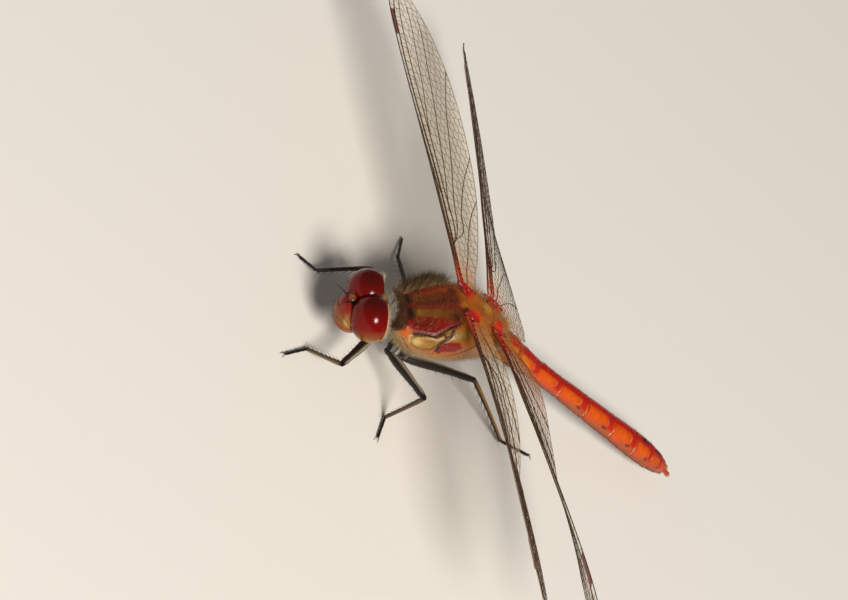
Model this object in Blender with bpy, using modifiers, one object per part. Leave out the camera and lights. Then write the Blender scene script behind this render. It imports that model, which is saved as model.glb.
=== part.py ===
"""Common Darter dragonfly, a male, standing with all four wings spread.

World axes: +Z up with the floor at zero, +X towards the head, +Y to the animal's left.
The body's own axes have their origin midway between the forewing hinges. Its +X runs along the
abdomen towards the head and its +Z leaves the back. Sizes are written in millimetres.
"""
import math

import bmesh
import bpy
from mathutils import Euler, Matrix, Vector

MM = 0.001
PART_NAME = "dragonfly"

# Stance: how the body's own axes stand over the floor.
WING_ROOT = (8.63, 0.1, 9.6)    # midpoint of the forewing hinges, above the floor
NOSE_UP = 13.5                   # degrees
LEFT_SIDE_UP = 9.0               # degrees

CUT = 0.06                       # width of the thin cuts that part the body

# Head, on axes of its own that are tipped nose-down from the body's.
HEAD_PLACE = (6.48, 0.10, -5.88)
HEAD_NOD = 38.0                  # degrees
HEAD_TURN = -4.0                 # degrees, towards its own right
EYE_CENTRE = (-0.50, 1.32, 0.25)
EYE_RADII = (1.66, 1.84, 1.90)
EYE_BACK = -1.40                 # the flat rear margin of the eyes
FACE_CENTRE = (0.72, 0.0, -0.80)
FACE_RADII = (1.28, 1.62, 1.50)
SKULL_CENTRE = (-0.95, 0.0, -0.15)
SKULL_RADII = (0.95, 2.35, 1.75)
CUTTING_BLOCK = 8.0              # side of the blocks that trim the eyes' rear and inner sides
ANTENNA_BASE = (1.75, 0.42, 0.80)
ANTENNA_BENDS = ((0.0, 0.0, 0.0), (0.47, 0.30, 0.26), (0.81, 0.72, 0.47))    # from its base
ANTENNA_RADIUS = 0.25

# Neck plate (prothorax) and wing-bearing thorax, out to the tips of their fur:
# (x, lowest z, highest z, half width) of each section.
PROTHORAX_SECTIONS = ((4.95, -5.40, -4.30, 0.80), (4.45, -5.60, -3.75, 1.45), (3.75, -5.75, -3.40, 1.95))
THORAX_SECTIONS = (
    (3.62, -6.00, -3.20, 2.25),
    (2.80, -6.35, -2.00, 3.05),
    (1.60, -6.40, -0.65, 3.55),
    (0.40, -6.10, 0.55, 3.65),
    (-0.90, -5.50, 1.00, 3.40),
    (-2.30, -4.80, 1.05, 2.85),
    (-3.60, -3.75, 1.00, 2.30),
    (-4.60, -2.80, 0.85, 1.75),
    (-5.20, -2.10, 0.65, 1.30),
)
THORAX_TAPER = -0.14             # narrowing from the middle to the back; below zero, the back is the wider

# Abdomen: (name, length, half width at its front, half width at its rear) of each ring.
ABDOMEN_START = (-5.26, 0.22, -1.08)
ABDOMEN_DROOP = 0.016            # fall for each millimetre of length
ABDOMEN_LEAN = 0.28              # how far each joint leans back towards the belly
ABDOMEN_RINGS = (
    ("abdomen_segment_01", 0.6, 1.12, 1.18),
    ("abdomen_segment_02", 1.5, 1.20, 1.12),
    ("abdomen_segment_03", 3.0, 1.08, 0.84),
    ("abdomen_segment_04", 3.25, 0.84, 0.84),
    ("abdomen_segment_05", 3.7, 0.85, 0.92),
    ("abdomen_segment_06", 3.7, 0.92, 0.98),
    ("abdomen_segment_07", 3.15, 0.98, 1.07),
    ("abdomen_segment_08", 2.3, 1.07, 1.00),
    ("abdomen_segment_09", 1.5, 0.98, 0.78),
    ("abdomen_segment_10", 0.8, 0.76, 0.50),
)
CERCUS_LENGTH = 1.05
CERCUS_PLACE = (0.25, 0.08)      # to each side of the middle, and above it
CERCUS_RADII = (0.21, 0.24, 0.10)

# Wings: span station, leading edge and trailing edge, from the hinge line outwards.
WING_THICKNESS = 0.5
WING_DROOP = 1.0                 # how far the tip hangs below a straight wing
FOREWING = (
    (0.0, 0.90, -1.30), (1.2, 0.95, -1.60), (3.0, 0.98, -2.55), (6.0, 1.00, -3.85), (10.0, 1.00, -5.20),
    (15.0, 0.95, -5.95), (19.0, 0.85, -6.05), (22.5, 0.62, -5.65), (25.3, 0.25, -4.75), (27.2, -0.35, -3.60),
    (28.0, -0.95, -2.75), (28.4, -1.60, -2.05),
)
HINDWING = (
    (0.0, 0.90, -2.80), (0.7, 0.95, -6.40), (2.0, 1.00, -7.75), (5.0, 1.00, -8.05), (8.5, 1.00, -7.95),
    (12.5, 0.95, -7.50), (17.0, 0.80, -6.70), (21.0, 0.55, -5.60), (24.0, 0.15, -4.45), (26.1, -0.50, -3.30),
    (26.9, -1.00, -2.70), (27.3, -1.60, -2.05),
)
# Hinge, sweep (forward), lift, and twist: pitch at the root (leading edge up), pitch at a share of the
# span, that share, and pitch at the tip. Angles in degrees.
WINGS = (
    ("forewing_left", FOREWING, (0.10, 1.55, 0.05), 3.4, 3.5, (-12.0, 24.0, 0.42, 24.0)),
    ("forewing_right", FOREWING, (0.10, -1.55, 0.05), 10.2, 5.7, (-3.0, -1.5, 0.35, -1.5)),
    ("hindwing_left", HINDWING, (-2.75, 1.45, 0.30), -6.9, 4.6, (9.0, 21.5, 0.36, 40.0)),
    ("hindwing_right", HINDWING, (-2.75, -1.45, 0.55), -4.0, 6.3, (13.0, 26.0, 0.45, 26.0)),
)
OUTER_TWIST_POWER = 1.6          # above 1, the outer twist gathers towards the tip

# Legs: hip in the body's axes; heel and toe stand over the floor, measured from below the wing root.
LEG_SIZES = {"fore": (4.6, 4.2), "middle": (5.4, 5.4), "hind": (7.25, 6.95)}    # femur, tibia
HIPS = {"fore": (3.9, 1.00, -6.90), "middle": (1.9, 1.35, -6.95), "hind": (0.5, 1.35, -6.75)}
COXA_LENGTH = 0.9
LEGS = (
    ("fore", "left", (8.95, 2.73, 0.40), (11.21, 3.96), (0.25, 0.85, 0.45)),
    ("middle", "left", (1.06, 5.96, 0.32), (1.89, 8.12), (-0.05, 0.55, 0.83)),
    ("hind", "left", (-11.00, 3.71, 0.55), (-14.45, 3.67), (-0.1, -0.45, 1.0)),
    ("fore", "right", (7.86, -4.66, 0.90), (8.97, -5.98), (-0.6, -0.8, 0.5)),
    ("middle", "right", (-1.00, -9.30, 0.90), (-2.30, -11.97), (-0.85, 0.2, 0.5)),
    ("hind", "right", (-10.60, -4.40, 0.55), (-13.90, -4.70), (0.0, -0.2, 1.0)),
)
FEMUR_RADII = (0.39, 0.30)
TIBIA_RADII = (0.29, 0.26)
TARSUS_RADII = (0.26, 0.25)
FOOT_HEIGHT = 0.17               # centre of the toe, so that its underside is a small flat on the floor

COLOURS = {
    "head": ((0.32, 0.13, 0.05), 0.55),
    "eye": ((0.20, 0.010, 0.008), 0.12),
    "face": ((0.42, 0.16, 0.04), 0.40),
    "antenna": ((0.03, 0.02, 0.02), 0.50),
    "thorax": ((0.33, 0.09, 0.03), 0.55),
    "abdomen": ((0.72, 0.09, 0.01), 0.35),
    "wing": ((0.75, 0.68, 0.50), 0.25),
    "leg": ((0.035, 0.028, 0.025), 0.45),
}


# ---------------------------------------------------------------- helpers

def start_scene():
    """Empty the scene and return the collections for the parts and for the cutters."""
    for old in list(bpy.data.objects):
        bpy.data.objects.remove(old, do_unlink=True)
    collections = []
    for name in (PART_NAME, "cutters"):
        collection = bpy.data.collections.new(name)
        bpy.context.scene.collection.children.link(collection)
        collections.append(collection)
    return collections


def make_material(name):
    """Principled material of one kind of surface."""
    colour, roughness = COLOURS[name]
    material = bpy.data.materials.new(name)
    material.use_nodes = True
    shader = material.node_tree.nodes["Principled BSDF"]
    shader.inputs["Base Color"].default_value = (*colour, 1.0)
    shader.inputs["Roughness"].default_value = roughness
    shader.inputs["Metallic"].default_value = 0.0
    return material


def head_axes():
    """Matrix from the head's own axes to the body's, in millimetres."""
    nod = Matrix.Rotation(math.radians(HEAD_NOD), 4, "Y")
    turn = Matrix.Rotation(math.radians(HEAD_TURN), 4, "Z")
    return Matrix.Translation(HEAD_PLACE) @ nod @ turn


def body_axes():
    """Matrix from the body's axes to the world's, in millimetres."""
    turn = Euler((math.radians(LEFT_SIDE_UP), -math.radians(NOSE_UP), 0), "XYZ")
    return Matrix.Translation(WING_ROOT) @ turn.to_matrix().to_4x4()


def section(x, low, high, half_width, taper=0.0, lean=0.0, sides=16, power=2.3):
    """Points round one upright cross-section; taper narrows its top, lean moves its lower points back."""
    middle = (low + high) / 2
    half_height = (high - low) / 2
    points = []
    for i in range(sides):
        angle = 2 * math.pi * i / sides
        c, s = math.cos(angle), math.sin(angle)
        z = math.copysign(abs(s) ** (2 / power), s)
        y = math.copysign(abs(c) ** (2 / power), c) * (1 - taper * z)
        points.append(Vector((x + lean * half_height * z, half_width * y, middle + half_height * z)))
    return points


def loft_mesh(name, rings):
    """Closed skin through rings of equally many points, in millimetres, with a flat cap at each end."""
    mesh = bpy.data.meshes.new(name)
    skin = bmesh.new()
    rows = [[skin.verts.new(point * MM) for point in ring] for ring in rings]
    sides = len(rows[0])
    for row, following in zip(rows, rows[1:]):
        for i in range(sides):
            j = (i + 1) % sides
            skin.faces.new((row[i], row[j], following[j], following[i]))
    skin.faces.new(list(reversed(rows[0])))
    skin.faces.new(rows[-1])
    bmesh.ops.recalc_face_normals(skin, faces=skin.faces)
    skin.to_mesh(mesh)
    skin.free()
    mesh.shade_smooth()
    mesh.set_sharp_from_angle(angle=math.radians(40))
    return mesh


def ellipsoid_mesh(name, radii, grow=0.0, segments=20, rings=12):
    """Ellipsoid about its own origin."""
    mesh = bpy.data.meshes.new(name)
    ball = bmesh.new()
    size = Matrix.Diagonal([(r + grow) * MM for r in radii] + [1.0])
    bmesh.ops.create_uvsphere(ball, u_segments=segments, v_segments=rings, radius=1.0, matrix=size)
    ball.to_mesh(mesh)
    ball.free()
    mesh.shade_smooth()
    return mesh


def tube_rings(path, radii, sides=8, start_normal=None, end_normal=None):
    """Rings along a bent path, each on the plane that halves the bend, or on a given plane at an end."""
    points = [Vector(point) for point in path]
    runs = [(b - a).normalized() for a, b in zip(points, points[1:])]
    normals = [runs[0]] + [(a + b).normalized() for a, b in zip(runs, runs[1:])] + [runs[-1]]
    if start_normal is not None:
        normals[0] = start_normal
    if end_normal is not None:
        normals[-1] = end_normal
    side = runs[0].orthogonal().normalized()
    rings = []
    for i, (point, radius) in enumerate(zip(points, radii)):
        run = runs[min(i, len(runs) - 1)]
        side = (side - run * side.dot(run)).normalized()
        other = run.cross(side)
        ring = []
        for k in range(sides):
            angle = 2 * math.pi * k / sides
            offset = (side * math.cos(angle) + other * math.sin(angle)) * radius
            slide = -offset.dot(normals[i]) / run.dot(normals[i])
            ring.append(point + offset + run * slide)
        rings.append(ring)
    return rings


def add_object(name, mesh, material, collection, parent=None, place=None):
    """Object of one mesh, on its parent's axes."""
    piece = bpy.data.objects.new(name, mesh)
    collection.objects.link(piece)
    if material is not None:
        mesh.materials.clear()
        mesh.materials.append(material)
    piece.parent = parent
    if place is not None:
        piece.matrix_local = place
    return piece


def add_cutter(name, mesh, cutters, parent, place=None):
    """Object that only cuts its neighbours."""
    cutter = add_object(name, mesh, None, cutters, parent, place)
    cutter.hide_render = True
    cutter.display_type = "WIRE"
    return cutter


def add_frame(name, matrix, collection, parent=None):
    """Empty that carries pieces; the matrix is in millimetres."""
    empty = bpy.data.objects.new(name, None)
    collection.objects.link(empty)
    empty.parent = parent
    local = matrix.copy()
    local.translation = matrix.translation * MM
    empty.matrix_local = local
    return empty


def smooth(piece):
    """One level of subdivision, the same in view and render."""
    subdivision = piece.modifiers.new("smooth", "SUBSURF")
    subdivision.levels = 1
    subdivision.render_levels = 1


def cut(piece, cutter):
    """Take the cutter's shape out of the piece."""
    boolean = piece.modifiers.new("cut_" + cutter.name, "BOOLEAN")
    boolean.operation = "DIFFERENCE"
    boolean.solver = "EXACT"
    boolean.object = cutter


def placed(x, y, z):
    """Local matrix that moves by millimetres."""
    return Matrix.Translation(Vector((x, y, z)) * MM)


# ---------------------------------------------------------------- body

def make_thorax(parts, cutters, body, material):
    """Wing-bearing thorax, and a cutter a thin cut larger for what meets it."""
    sections = [section(*sizes, THORAX_TAPER) for sizes in THORAX_SECTIONS]
    thorax = add_object("thorax", loft_mesh("thorax", sections), material, parts, body)
    smooth(thorax)
    grown = []
    for i, (x, low, high, half_width) in enumerate(THORAX_SECTIONS):
        reach = CUT * ((i == 0) - (i == len(THORAX_SECTIONS) - 1))
        grown.append(section(x + reach, low - CUT, high + CUT, half_width + CUT, THORAX_TAPER))
    cutter = add_cutter("thorax_cutter", loft_mesh("thorax_cutter", grown), cutters, body)
    smooth(cutter)
    return cutter


def make_prothorax(parts, body, material, neighbours):
    """Neck plate between the head and the thorax."""
    sections = [section(*sizes) for sizes in PROTHORAX_SECTIONS]
    plate = add_object("prothorax", loft_mesh("prothorax", sections), material, parts, body)
    for cutter in neighbours:
        cut(plate, cutter)


def abdomen_centre(along):
    """Centre of the abdomen a given way behind its start."""
    start = Vector(ABDOMEN_START)
    return Vector((start.x - along, start.y, start.z - ABDOMEN_DROOP * along))


def make_abdomen(parts, body, material):
    """Ten rings, each a little fuller in its middle, and the two claspers at the tip."""
    along = 0.0
    for name, length, front, rear in ABDOMEN_RINGS:
        first = name.endswith("_01")
        sections = []
        for share in (0.0, 0.35, 0.8, 1.0):
            here = along + CUT / 2 + (length - CUT) * share
            centre = abdomen_centre(here)
            size = front + (rear - front) * share + 0.02 * (share in (0.35, 0.8))
            lean = 0.0 if first and share == 0.0 else ABDOMEN_LEAN
            ring = section(centre.x, centre.z - 0.94 * size, centre.z + size, size, 0.0, lean, power=2.1)
            sections.append([point + Vector((0, centre.y, 0)) for point in ring])
        add_object(name, loft_mesh(name, sections), material, parts, body)
        along += length
    for side, sign in (("left", 1), ("right", -1)):
        make_cercus(f"cercus_{side}", sign, along, parts, body, material)


def make_cercus(name, sign, along, parts, body, material):
    """One clasper, a small tapering curved horn."""
    aside, above = CERCUS_PLACE
    root = abdomen_centre(along + CUT) + Vector((0, sign * aside, above))
    path = [root + Vector((-CERCUS_LENGTH * t, sign * 0.10 * t, -0.22 * t * t)) for t in (0.0, 0.5, 1.0)]
    rings = tube_rings(path, CERCUS_RADII, 8, start_normal=Vector((1.0, 0.0, -ABDOMEN_LEAN)).normalized())
    add_object(name, loft_mesh(name, rings), material, parts, body)


def make_head(parts, cutters, body, materials):
    """Skull behind the eyes, the face in front, two eyes that meet on top, and two feelers.

    Returns the cutter that keeps the neck plate clear of the skull.
    """
    head_frame = add_frame("head_frame", head_axes(), parts, body)
    back = add_cutter("behind_eyes", box_mesh("behind_eyes", CUTTING_BLOCK), cutters, head_frame,
                      placed(EYE_BACK - CUTTING_BLOCK / 2, 0, 0))
    add_object("head", ellipsoid_mesh("head", SKULL_RADII), materials["head"], parts, head_frame,
               placed(*SKULL_CENTRE))
    skull_cutter = add_cutter("skull_cutter", ellipsoid_mesh("skull_cutter", SKULL_RADII, CUT), cutters,
                              head_frame, placed(*SKULL_CENTRE))
    face = add_object("face", ellipsoid_mesh("face", FACE_RADII), materials["face"], parts, head_frame,
                      placed(*FACE_CENTRE))
    face_cutter = add_cutter("face_cutter", ellipsoid_mesh("face_cutter", FACE_RADII, CUT), cutters,
                             head_frame, placed(*FACE_CENTRE))
    cut(face, skull_cutter)
    for side, sign in (("left", 1), ("right", -1)):
        x, y, z = EYE_CENTRE
        name = f"eye_{side}"
        eye = add_object(name, ellipsoid_mesh(name, EYE_RADII, segments=24, rings=16), materials["eye"],
                         parts, head_frame, placed(x, sign * y, z))
        beyond = add_cutter(f"beyond_seam_{side}", box_mesh(f"beyond_seam_{side}", CUTTING_BLOCK), cutters,
                            head_frame, placed(0, sign * (CUT - CUTTING_BLOCK) / 2, 0))
        for cutter in (beyond, back, skull_cutter, face_cutter):
            cut(eye, cutter)
        root = Vector(ANTENNA_BASE) * MM
        root.y *= sign
        path = [Vector((ahead, sign * aside, above)) for ahead, aside, above in ANTENNA_BENDS]
        rings = tube_rings(path, [ANTENNA_RADIUS] * len(path), 8)
        feeler = add_object(f"antenna_{side}", loft_mesh(f"antenna_{side}", rings), materials["antenna"],
                            parts, head_frame, Matrix.Translation(root))
        cut(feeler, face_cutter)
    return skull_cutter


def box_mesh(name, side):
    """Cube about its own origin, for a cutter."""
    mesh = bpy.data.meshes.new(name)
    box = bmesh.new()
    bmesh.ops.create_cube(box, size=side * MM)
    box.to_mesh(mesh)
    box.free()
    return mesh


# ---------------------------------------------------------------- wings

def wing_axes(hinge, sweep, lift):
    """Unit vectors out along a wing, towards its leading edge, and up from its face."""
    sign = math.copysign(1.0, hinge[1])
    sweep, lift = math.radians(sweep), math.radians(lift)
    out = Vector((math.sin(sweep) * math.cos(lift), sign * math.cos(sweep) * math.cos(lift), math.sin(lift)))
    lead = (Vector((1, 0, 0)) - out * out.x).normalized()
    up = sign * lead.cross(out)
    return out, lead, up


def wing_pitch(share, twist):
    """Pitch of a wing's chord at a share of its span, in radians."""
    root, middle, middle_share, tip = twist
    inner = min(share / middle_share, 1.0)
    outer = max((share - middle_share) / (1 - middle_share), 0.0)
    return math.radians(root + (middle - root) * inner + (tip - middle) * outer ** OUTER_TWIST_POWER)


def wing_sheet(name, outline, hinge, sweep, lift, twist):
    """Open sheet over a wing's outline, twisted from root to tip."""
    out, lead, up = wing_axes(hinge, sweep, lift)
    span = outline[-1][0]
    mesh = bpy.data.meshes.new(name)
    sheet = bmesh.new()
    rows = []
    for station, front, rear in outline:
        pitch = wing_pitch(station / span, twist)
        chord = lead * math.cos(pitch) + up * math.sin(pitch)
        centre = Vector(hinge) + out * station - up * WING_DROOP * (station / span) ** 2
        row = []
        for k in range(6):
            across = front + (rear - front) * k / 5
            row.append(sheet.verts.new((centre + chord * across) * MM))
        rows.append(row)
    for row, following in zip(rows, rows[1:]):
        for k in range(5):
            sheet.faces.new((row[k], row[k + 1], following[k + 1], following[k]))
    bmesh.ops.recalc_face_normals(sheet, faces=sheet.faces)
    sheet.to_mesh(mesh)
    sheet.free()
    return mesh


def make_wings(parts, body, material, thorax_cutter):
    """Four thin plates that start at the thorax's side."""
    for name, *shape in WINGS:
        wing = add_object(name, wing_sheet(name, *shape), material, parts, body)
        plate = wing.modifiers.new("plate", "SOLIDIFY")
        plate.thickness = WING_THICKNESS * MM
        plate.offset = 0.0
        cut(wing, thorax_cutter)


# ---------------------------------------------------------------- legs

def knee_between(hip, heel, femur, tibia, bend):
    """Point at the femur's length from the hip and the tibia's from the heel, bent towards a direction."""
    line = heel - hip
    reach = min(line.length, 0.998 * (femur + tibia))
    along = (reach * reach + femur * femur - tibia * tibia) / (2 * reach)
    aside = math.sqrt(max(femur * femur - along * along, 0.0))
    run = line.normalized()
    outward = Vector(bend)
    outward = (outward - run * outward.dot(run)).normalized()
    return hip + run * along + outward * aside


def shifted(point, towards, gap):
    """Point moved a little way towards another."""
    point, towards = Vector(point), Vector(towards)
    return point + (towards - point).normalized() * gap


def make_legs(parts, material, thorax_cutter):
    """Six legs, each parted at the hip, knee and heel by thin cuts, on small flat feet."""
    axes = body_axes()
    below_root = Vector((WING_ROOT[0], WING_ROOT[1], 0.0))
    for pair, side, heel, toe, bend in LEGS:
        sign = 1 if side == "left" else -1
        x, y, z = HIPS[pair]
        femur, tibia = LEG_SIZES[pair]
        hip = axes @ Vector((x, sign * y, z))
        socket = axes @ Vector((x - 0.15, sign * (y - 0.45), z + COXA_LENGTH))
        heel = below_root + Vector(heel)
        toe = below_root + Vector((*toe, FOOT_HEIGHT))
        knee = knee_between(hip, heel, femur, tibia, bend)
        joints = [socket, hip, knee, heel, toe]
        runs = [(b - a).normalized() for a, b in zip(joints, joints[1:])]
        planes = [runs[0]] + [(a + b).normalized() for a, b in zip(runs, runs[1:])] + [runs[-1]]
        pieces = (
            ("coxa", 0, (0.50, 0.42)),
            ("femur", 1, FEMUR_RADII),
            ("tibia", 2, TIBIA_RADII),
            ("tarsus", 3, TARSUS_RADII),
        )
        for title, i, radii in pieces:
            name = f"{pair}_{title}_{side}"
            start = shifted(joints[i], joints[i + 1], CUT if i else 0.0)
            end = shifted(joints[i + 1], joints[i], CUT if i < 3 else 0.0)
            middle = start.lerp(end, 0.5)
            rings = tube_rings((start, middle, end), (radii[0], (radii[0] + radii[1]) / 2, radii[1]), 8,
                               planes[i], planes[i + 1])
            if title == "tarsus":
                for ring in rings:
                    for point in ring:
                        point.z = max(point.z, 0.0)
            leg = add_object(name, loft_mesh(name, rings), material, parts)
            if title == "coxa":
                cut(leg, thorax_cutter)


def main():
    parts, cutters = start_scene()
    materials = {name: make_material(name) for name in COLOURS}
    body = add_frame("body_frame", body_axes(), parts)
    thorax_cutter = make_thorax(parts, cutters, body, materials["thorax"])
    skull_cutter = make_head(parts, cutters, body, materials)
    make_prothorax(parts, body, materials["thorax"], (thorax_cutter, skull_cutter))
    make_abdomen(parts, body, materials["abdomen"])
    make_wings(parts, body, materials["wing"], thorax_cutter)
    make_legs(parts, materials["leg"], thorax_cutter)


main()
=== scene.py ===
"""Looks of a still Common Darter dragonfly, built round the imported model.

Sizes are in millimetres on the animal's own axes: +X towards the head, +Y to its left, +Z out of its
back, with the origin midway between the forewing hinges. The head has axes of its own, tipped nose-down,
and the legs are built on the world's axes. Along the body, "girth" runs from 0 on the back through 0.5
on the flank to 1 on the belly. A "part" is a tuple of points, a list of face arrays, and colours.
"""
import math

import bpy
import numpy as np
from mathutils import Euler, Matrix, Vector, geometry


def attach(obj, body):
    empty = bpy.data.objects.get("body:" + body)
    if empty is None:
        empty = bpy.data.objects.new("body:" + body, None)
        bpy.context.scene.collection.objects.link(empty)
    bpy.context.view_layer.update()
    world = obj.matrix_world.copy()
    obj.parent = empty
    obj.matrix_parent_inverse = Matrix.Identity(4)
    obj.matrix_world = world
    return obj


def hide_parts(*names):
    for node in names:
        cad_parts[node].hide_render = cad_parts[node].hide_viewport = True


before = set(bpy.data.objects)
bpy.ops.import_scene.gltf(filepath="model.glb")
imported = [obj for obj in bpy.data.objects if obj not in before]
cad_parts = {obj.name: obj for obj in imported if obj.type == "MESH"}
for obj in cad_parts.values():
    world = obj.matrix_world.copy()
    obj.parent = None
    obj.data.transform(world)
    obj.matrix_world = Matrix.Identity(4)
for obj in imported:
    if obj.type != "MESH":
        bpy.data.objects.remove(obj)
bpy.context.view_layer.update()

MM = 0.001
RNG = np.random.default_rng(7)
SIDES = (("left", 1.0), ("right", -1.0))

# Stance, as in the solids.
WING_ROOT = (8.63, 0.1, 9.6)
NOSE_UP = 13.5
LEFT_SIDE_UP = 9.0
HEAD_PLACE = (6.48, 0.10, -5.88)
HEAD_NOD = 38.0
HEAD_TURN = -4.0

# Camera: where it stands round the animal, its roll, and what it looks at.
CAMERA_AZIMUTH = 42.64
CAMERA_ELEVATION = 37.08
CAMERA_ROLL = 56.72
CAMERA_SHIFT = (-3.59, 0.347)    # aim, from the wing root, across and up the view
CAMERA_DISTANCE = 1000.0
FIELD_WIDTH = 65.5               # width of the view at the animal


def turned(place, degrees):
    """Matrix, in metres, of axes turned by the angles and moved to the place."""
    angles = [math.radians(angle) for angle in degrees]
    return Matrix.Translation(Vector(place) * MM) @ Euler(angles, "XYZ").to_matrix().to_4x4()


WORLD = Matrix.Identity(4)
BODY = turned(WING_ROOT, (LEFT_SIDE_UP, -NOSE_UP, 0))
HEAD = BODY @ turned(HEAD_PLACE, (0, HEAD_NOD, 0)) @ Matrix.Rotation(math.radians(HEAD_TURN), 4, "Z")


# ---------------------------------------------------------------- numbers and colours

def step(low, high, value):
    """Smooth rise from 0 at low to 1 at high."""
    t = np.clip((np.asarray(value, float) - low) / (high - low), 0.0, 1.0)
    return t * t * (3 - 2 * t)


def band(low, high, soft, value):
    """1 between low and high, fading over soft on each side."""
    return step(low - soft, low + soft, value) * (1 - step(high - soft, high + soft, value))


def bump(distance, width):
    """Bell of height 1."""
    return np.exp(-(np.asarray(distance) / width) ** 2)


def unit(vectors):
    return vectors / np.maximum(np.linalg.norm(vectors, axis=-1, keepdims=True), 1e-9)


def curve(knots, column, at):
    """Smooth value at places along a table of knots, whose first column is the place."""
    table = np.array(knots, float)
    if table[0, 0] > table[-1, 0]:
        table = table[::-1]
    x, y = table[:, 0], table[:, column]
    slope = np.gradient(y, x)
    at = np.clip(np.asarray(at, float), x[0], x[-1])
    i = np.clip(np.searchsorted(x, at, side="right") - 1, 0, len(x) - 2)
    width = x[i + 1] - x[i]
    t = (at - x[i]) / width
    return ((2 * t**3 - 3 * t**2 + 1) * y[i] + (t**3 - 2 * t**2 + t) * width * slope[i]
            + (3 * t**2 - 2 * t**3) * y[i + 1] + (t**3 - t**2) * width * slope[i + 1])


def line_distance(x, y, path):
    """Distance from points to a bent line."""
    best = np.full(np.shape(x), 1e9)
    for (x0, y0), (x1, y1) in zip(path, path[1:]):
        run = np.array((x1 - x0, y1 - y0))
        t = np.clip(((x - x0) * run[0] + (y - y0) * run[1]) / (run @ run), 0, 1)
        best = np.minimum(best, np.hypot(x - x0 - t * run[0], y - y0 - t * run[1]))
    return best


def patch(x, y, outline, soft):
    """1 inside a closed outline, fading over soft at its edge."""
    closed = outline + outline[:1]
    inside = np.zeros(np.shape(x), bool)
    for (x0, y0), (x1, y1) in zip(closed, closed[1:]):
        height = y1 - y0 if y1 != y0 else 1.0
        inside ^= ((y0 > y) != (y1 > y)) & (x < (x1 - x0) * (y - y0) / height + x0)
    distance = line_distance(x, y, closed)
    return step(-soft, soft, np.where(inside, distance, -distance))


def layered(like, base, *layers):
    """One colour per value of like: a base, with layers of (share, colour) mixed in one after another."""
    colours = np.zeros(np.shape(like) + (3,)) + np.array(base)
    for share, colour in layers:
        share = np.clip(share, 0, 1)[..., None]
        colours = colours * (1 - share) + np.array(colour) * share
    return colours


def painted(shape, base, *layers):
    """Part from points and faces, with its colours layered on a base."""
    points, faces = shape
    return points, faces, layered(points[:, 0], base, *layers)


# ---------------------------------------------------------------- meshes

def grid_faces(rows, columns, closed=False):
    """Four-sided faces over a grid of points; closed joins the last column to the first."""
    index = np.arange(rows * columns).reshape(rows, columns)
    if closed:
        index = np.concatenate((index, index[:, :1]), axis=1)
    corners = (index[:-1, :-1], index[:-1, 1:], index[1:, 1:], index[1:, :-1])
    return np.stack([corner.ravel() for corner in corners], axis=1)


def fan(ring, centre, flip):
    """Three-sided faces from a ring of points to one point."""
    following = np.roll(ring, -1)
    order = (following, ring) if flip else (ring, following)
    return np.stack((*order, np.full(len(ring), centre)), axis=1)


def make_mesh(name, points, faces, colours, bake):
    """Mesh with a colour, and a bake place where there is one, for each point."""
    mesh = bpy.data.meshes.new(name)
    corners = np.concatenate([group.ravel() for group in faces]).astype(np.int32)
    sizes = np.concatenate([np.full(len(group), group.shape[1]) for group in faces])
    mesh.vertices.add(len(points))
    mesh.vertices.foreach_set("co", (points * MM).astype(np.float32).ravel())
    mesh.loops.add(len(corners))
    mesh.loops.foreach_set("vertex_index", corners)
    mesh.polygons.add(len(sizes))
    mesh.polygons.foreach_set("loop_start", (np.cumsum(sizes) - sizes).astype(np.int32))
    mesh.update(calc_edges=True)
    layer = mesh.color_attributes.new("marking", "FLOAT_COLOR", "POINT")
    full = np.concatenate((colours, np.ones((len(points), 1))), axis=1)
    layer.data.foreach_set("color", full.astype(np.float32).ravel())
    if bake is not None:
        layer = mesh.uv_layers.new(name="OFBake")
        layer.uv.foreach_set("vector", bake[corners].astype(np.float32).ravel())
    mesh.shade_smooth()
    return mesh


def linked(name, data):
    """Object of the given data, in the scene."""
    thing = bpy.data.objects.new(name, data)
    bpy.context.scene.collection.objects.link(thing)
    return thing


def add_piece(name, parts, place, material, replaces=(), bake=None):
    """Piece joined from its parts on the given axes, riding on the part's one body."""
    faces, offset = [], 0
    for points, groups, _ in parts:
        faces += [group + offset for group in groups]
        offset += len(points)
    points, colours = (np.concatenate([part[i] for part in parts]) for i in (0, 2))
    piece = linked(name, make_mesh(name, points, faces, colours, bake))
    piece.matrix_world = place
    piece.data.materials.append(MATERIALS[material])
    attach(piece, "root")
    if replaces:
        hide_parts(*replaces)
    return piece


def stacked(*values):
    """Points, or places, from their coordinates."""
    return np.stack(np.broadcast_arrays(*values), axis=-1)


def rings(first, second, angles):
    """Unit circles of points, one on each pair of axes."""
    return first[:, None] * np.cos(angles)[:, None] + second[:, None] * np.sin(angles)[:, None]


def tube(path, radii, sides=10, wide=(0, 0, 1)):
    """Points and faces of a closed tube along a path."""
    path = np.array(path, float)
    runs = unit(np.gradient(path, axis=0))
    across = unit(np.cross(runs, np.array(wide, float)))
    other = unit(np.cross(across, runs))
    ring = rings(across, other, np.arange(sides) * 2 * math.pi / sides)
    body = path[:, None] + ring * np.array(radii, float)[:, None, None]
    count = len(path) * sides
    points = np.concatenate((body.reshape(-1, 3), path[:1], path[-1:]))
    first = np.arange(sides)
    return points, [grid_faces(len(path), sides, True), fan(first, count, False),
                    fan(first + count - sides, count + 1, True)]


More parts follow.
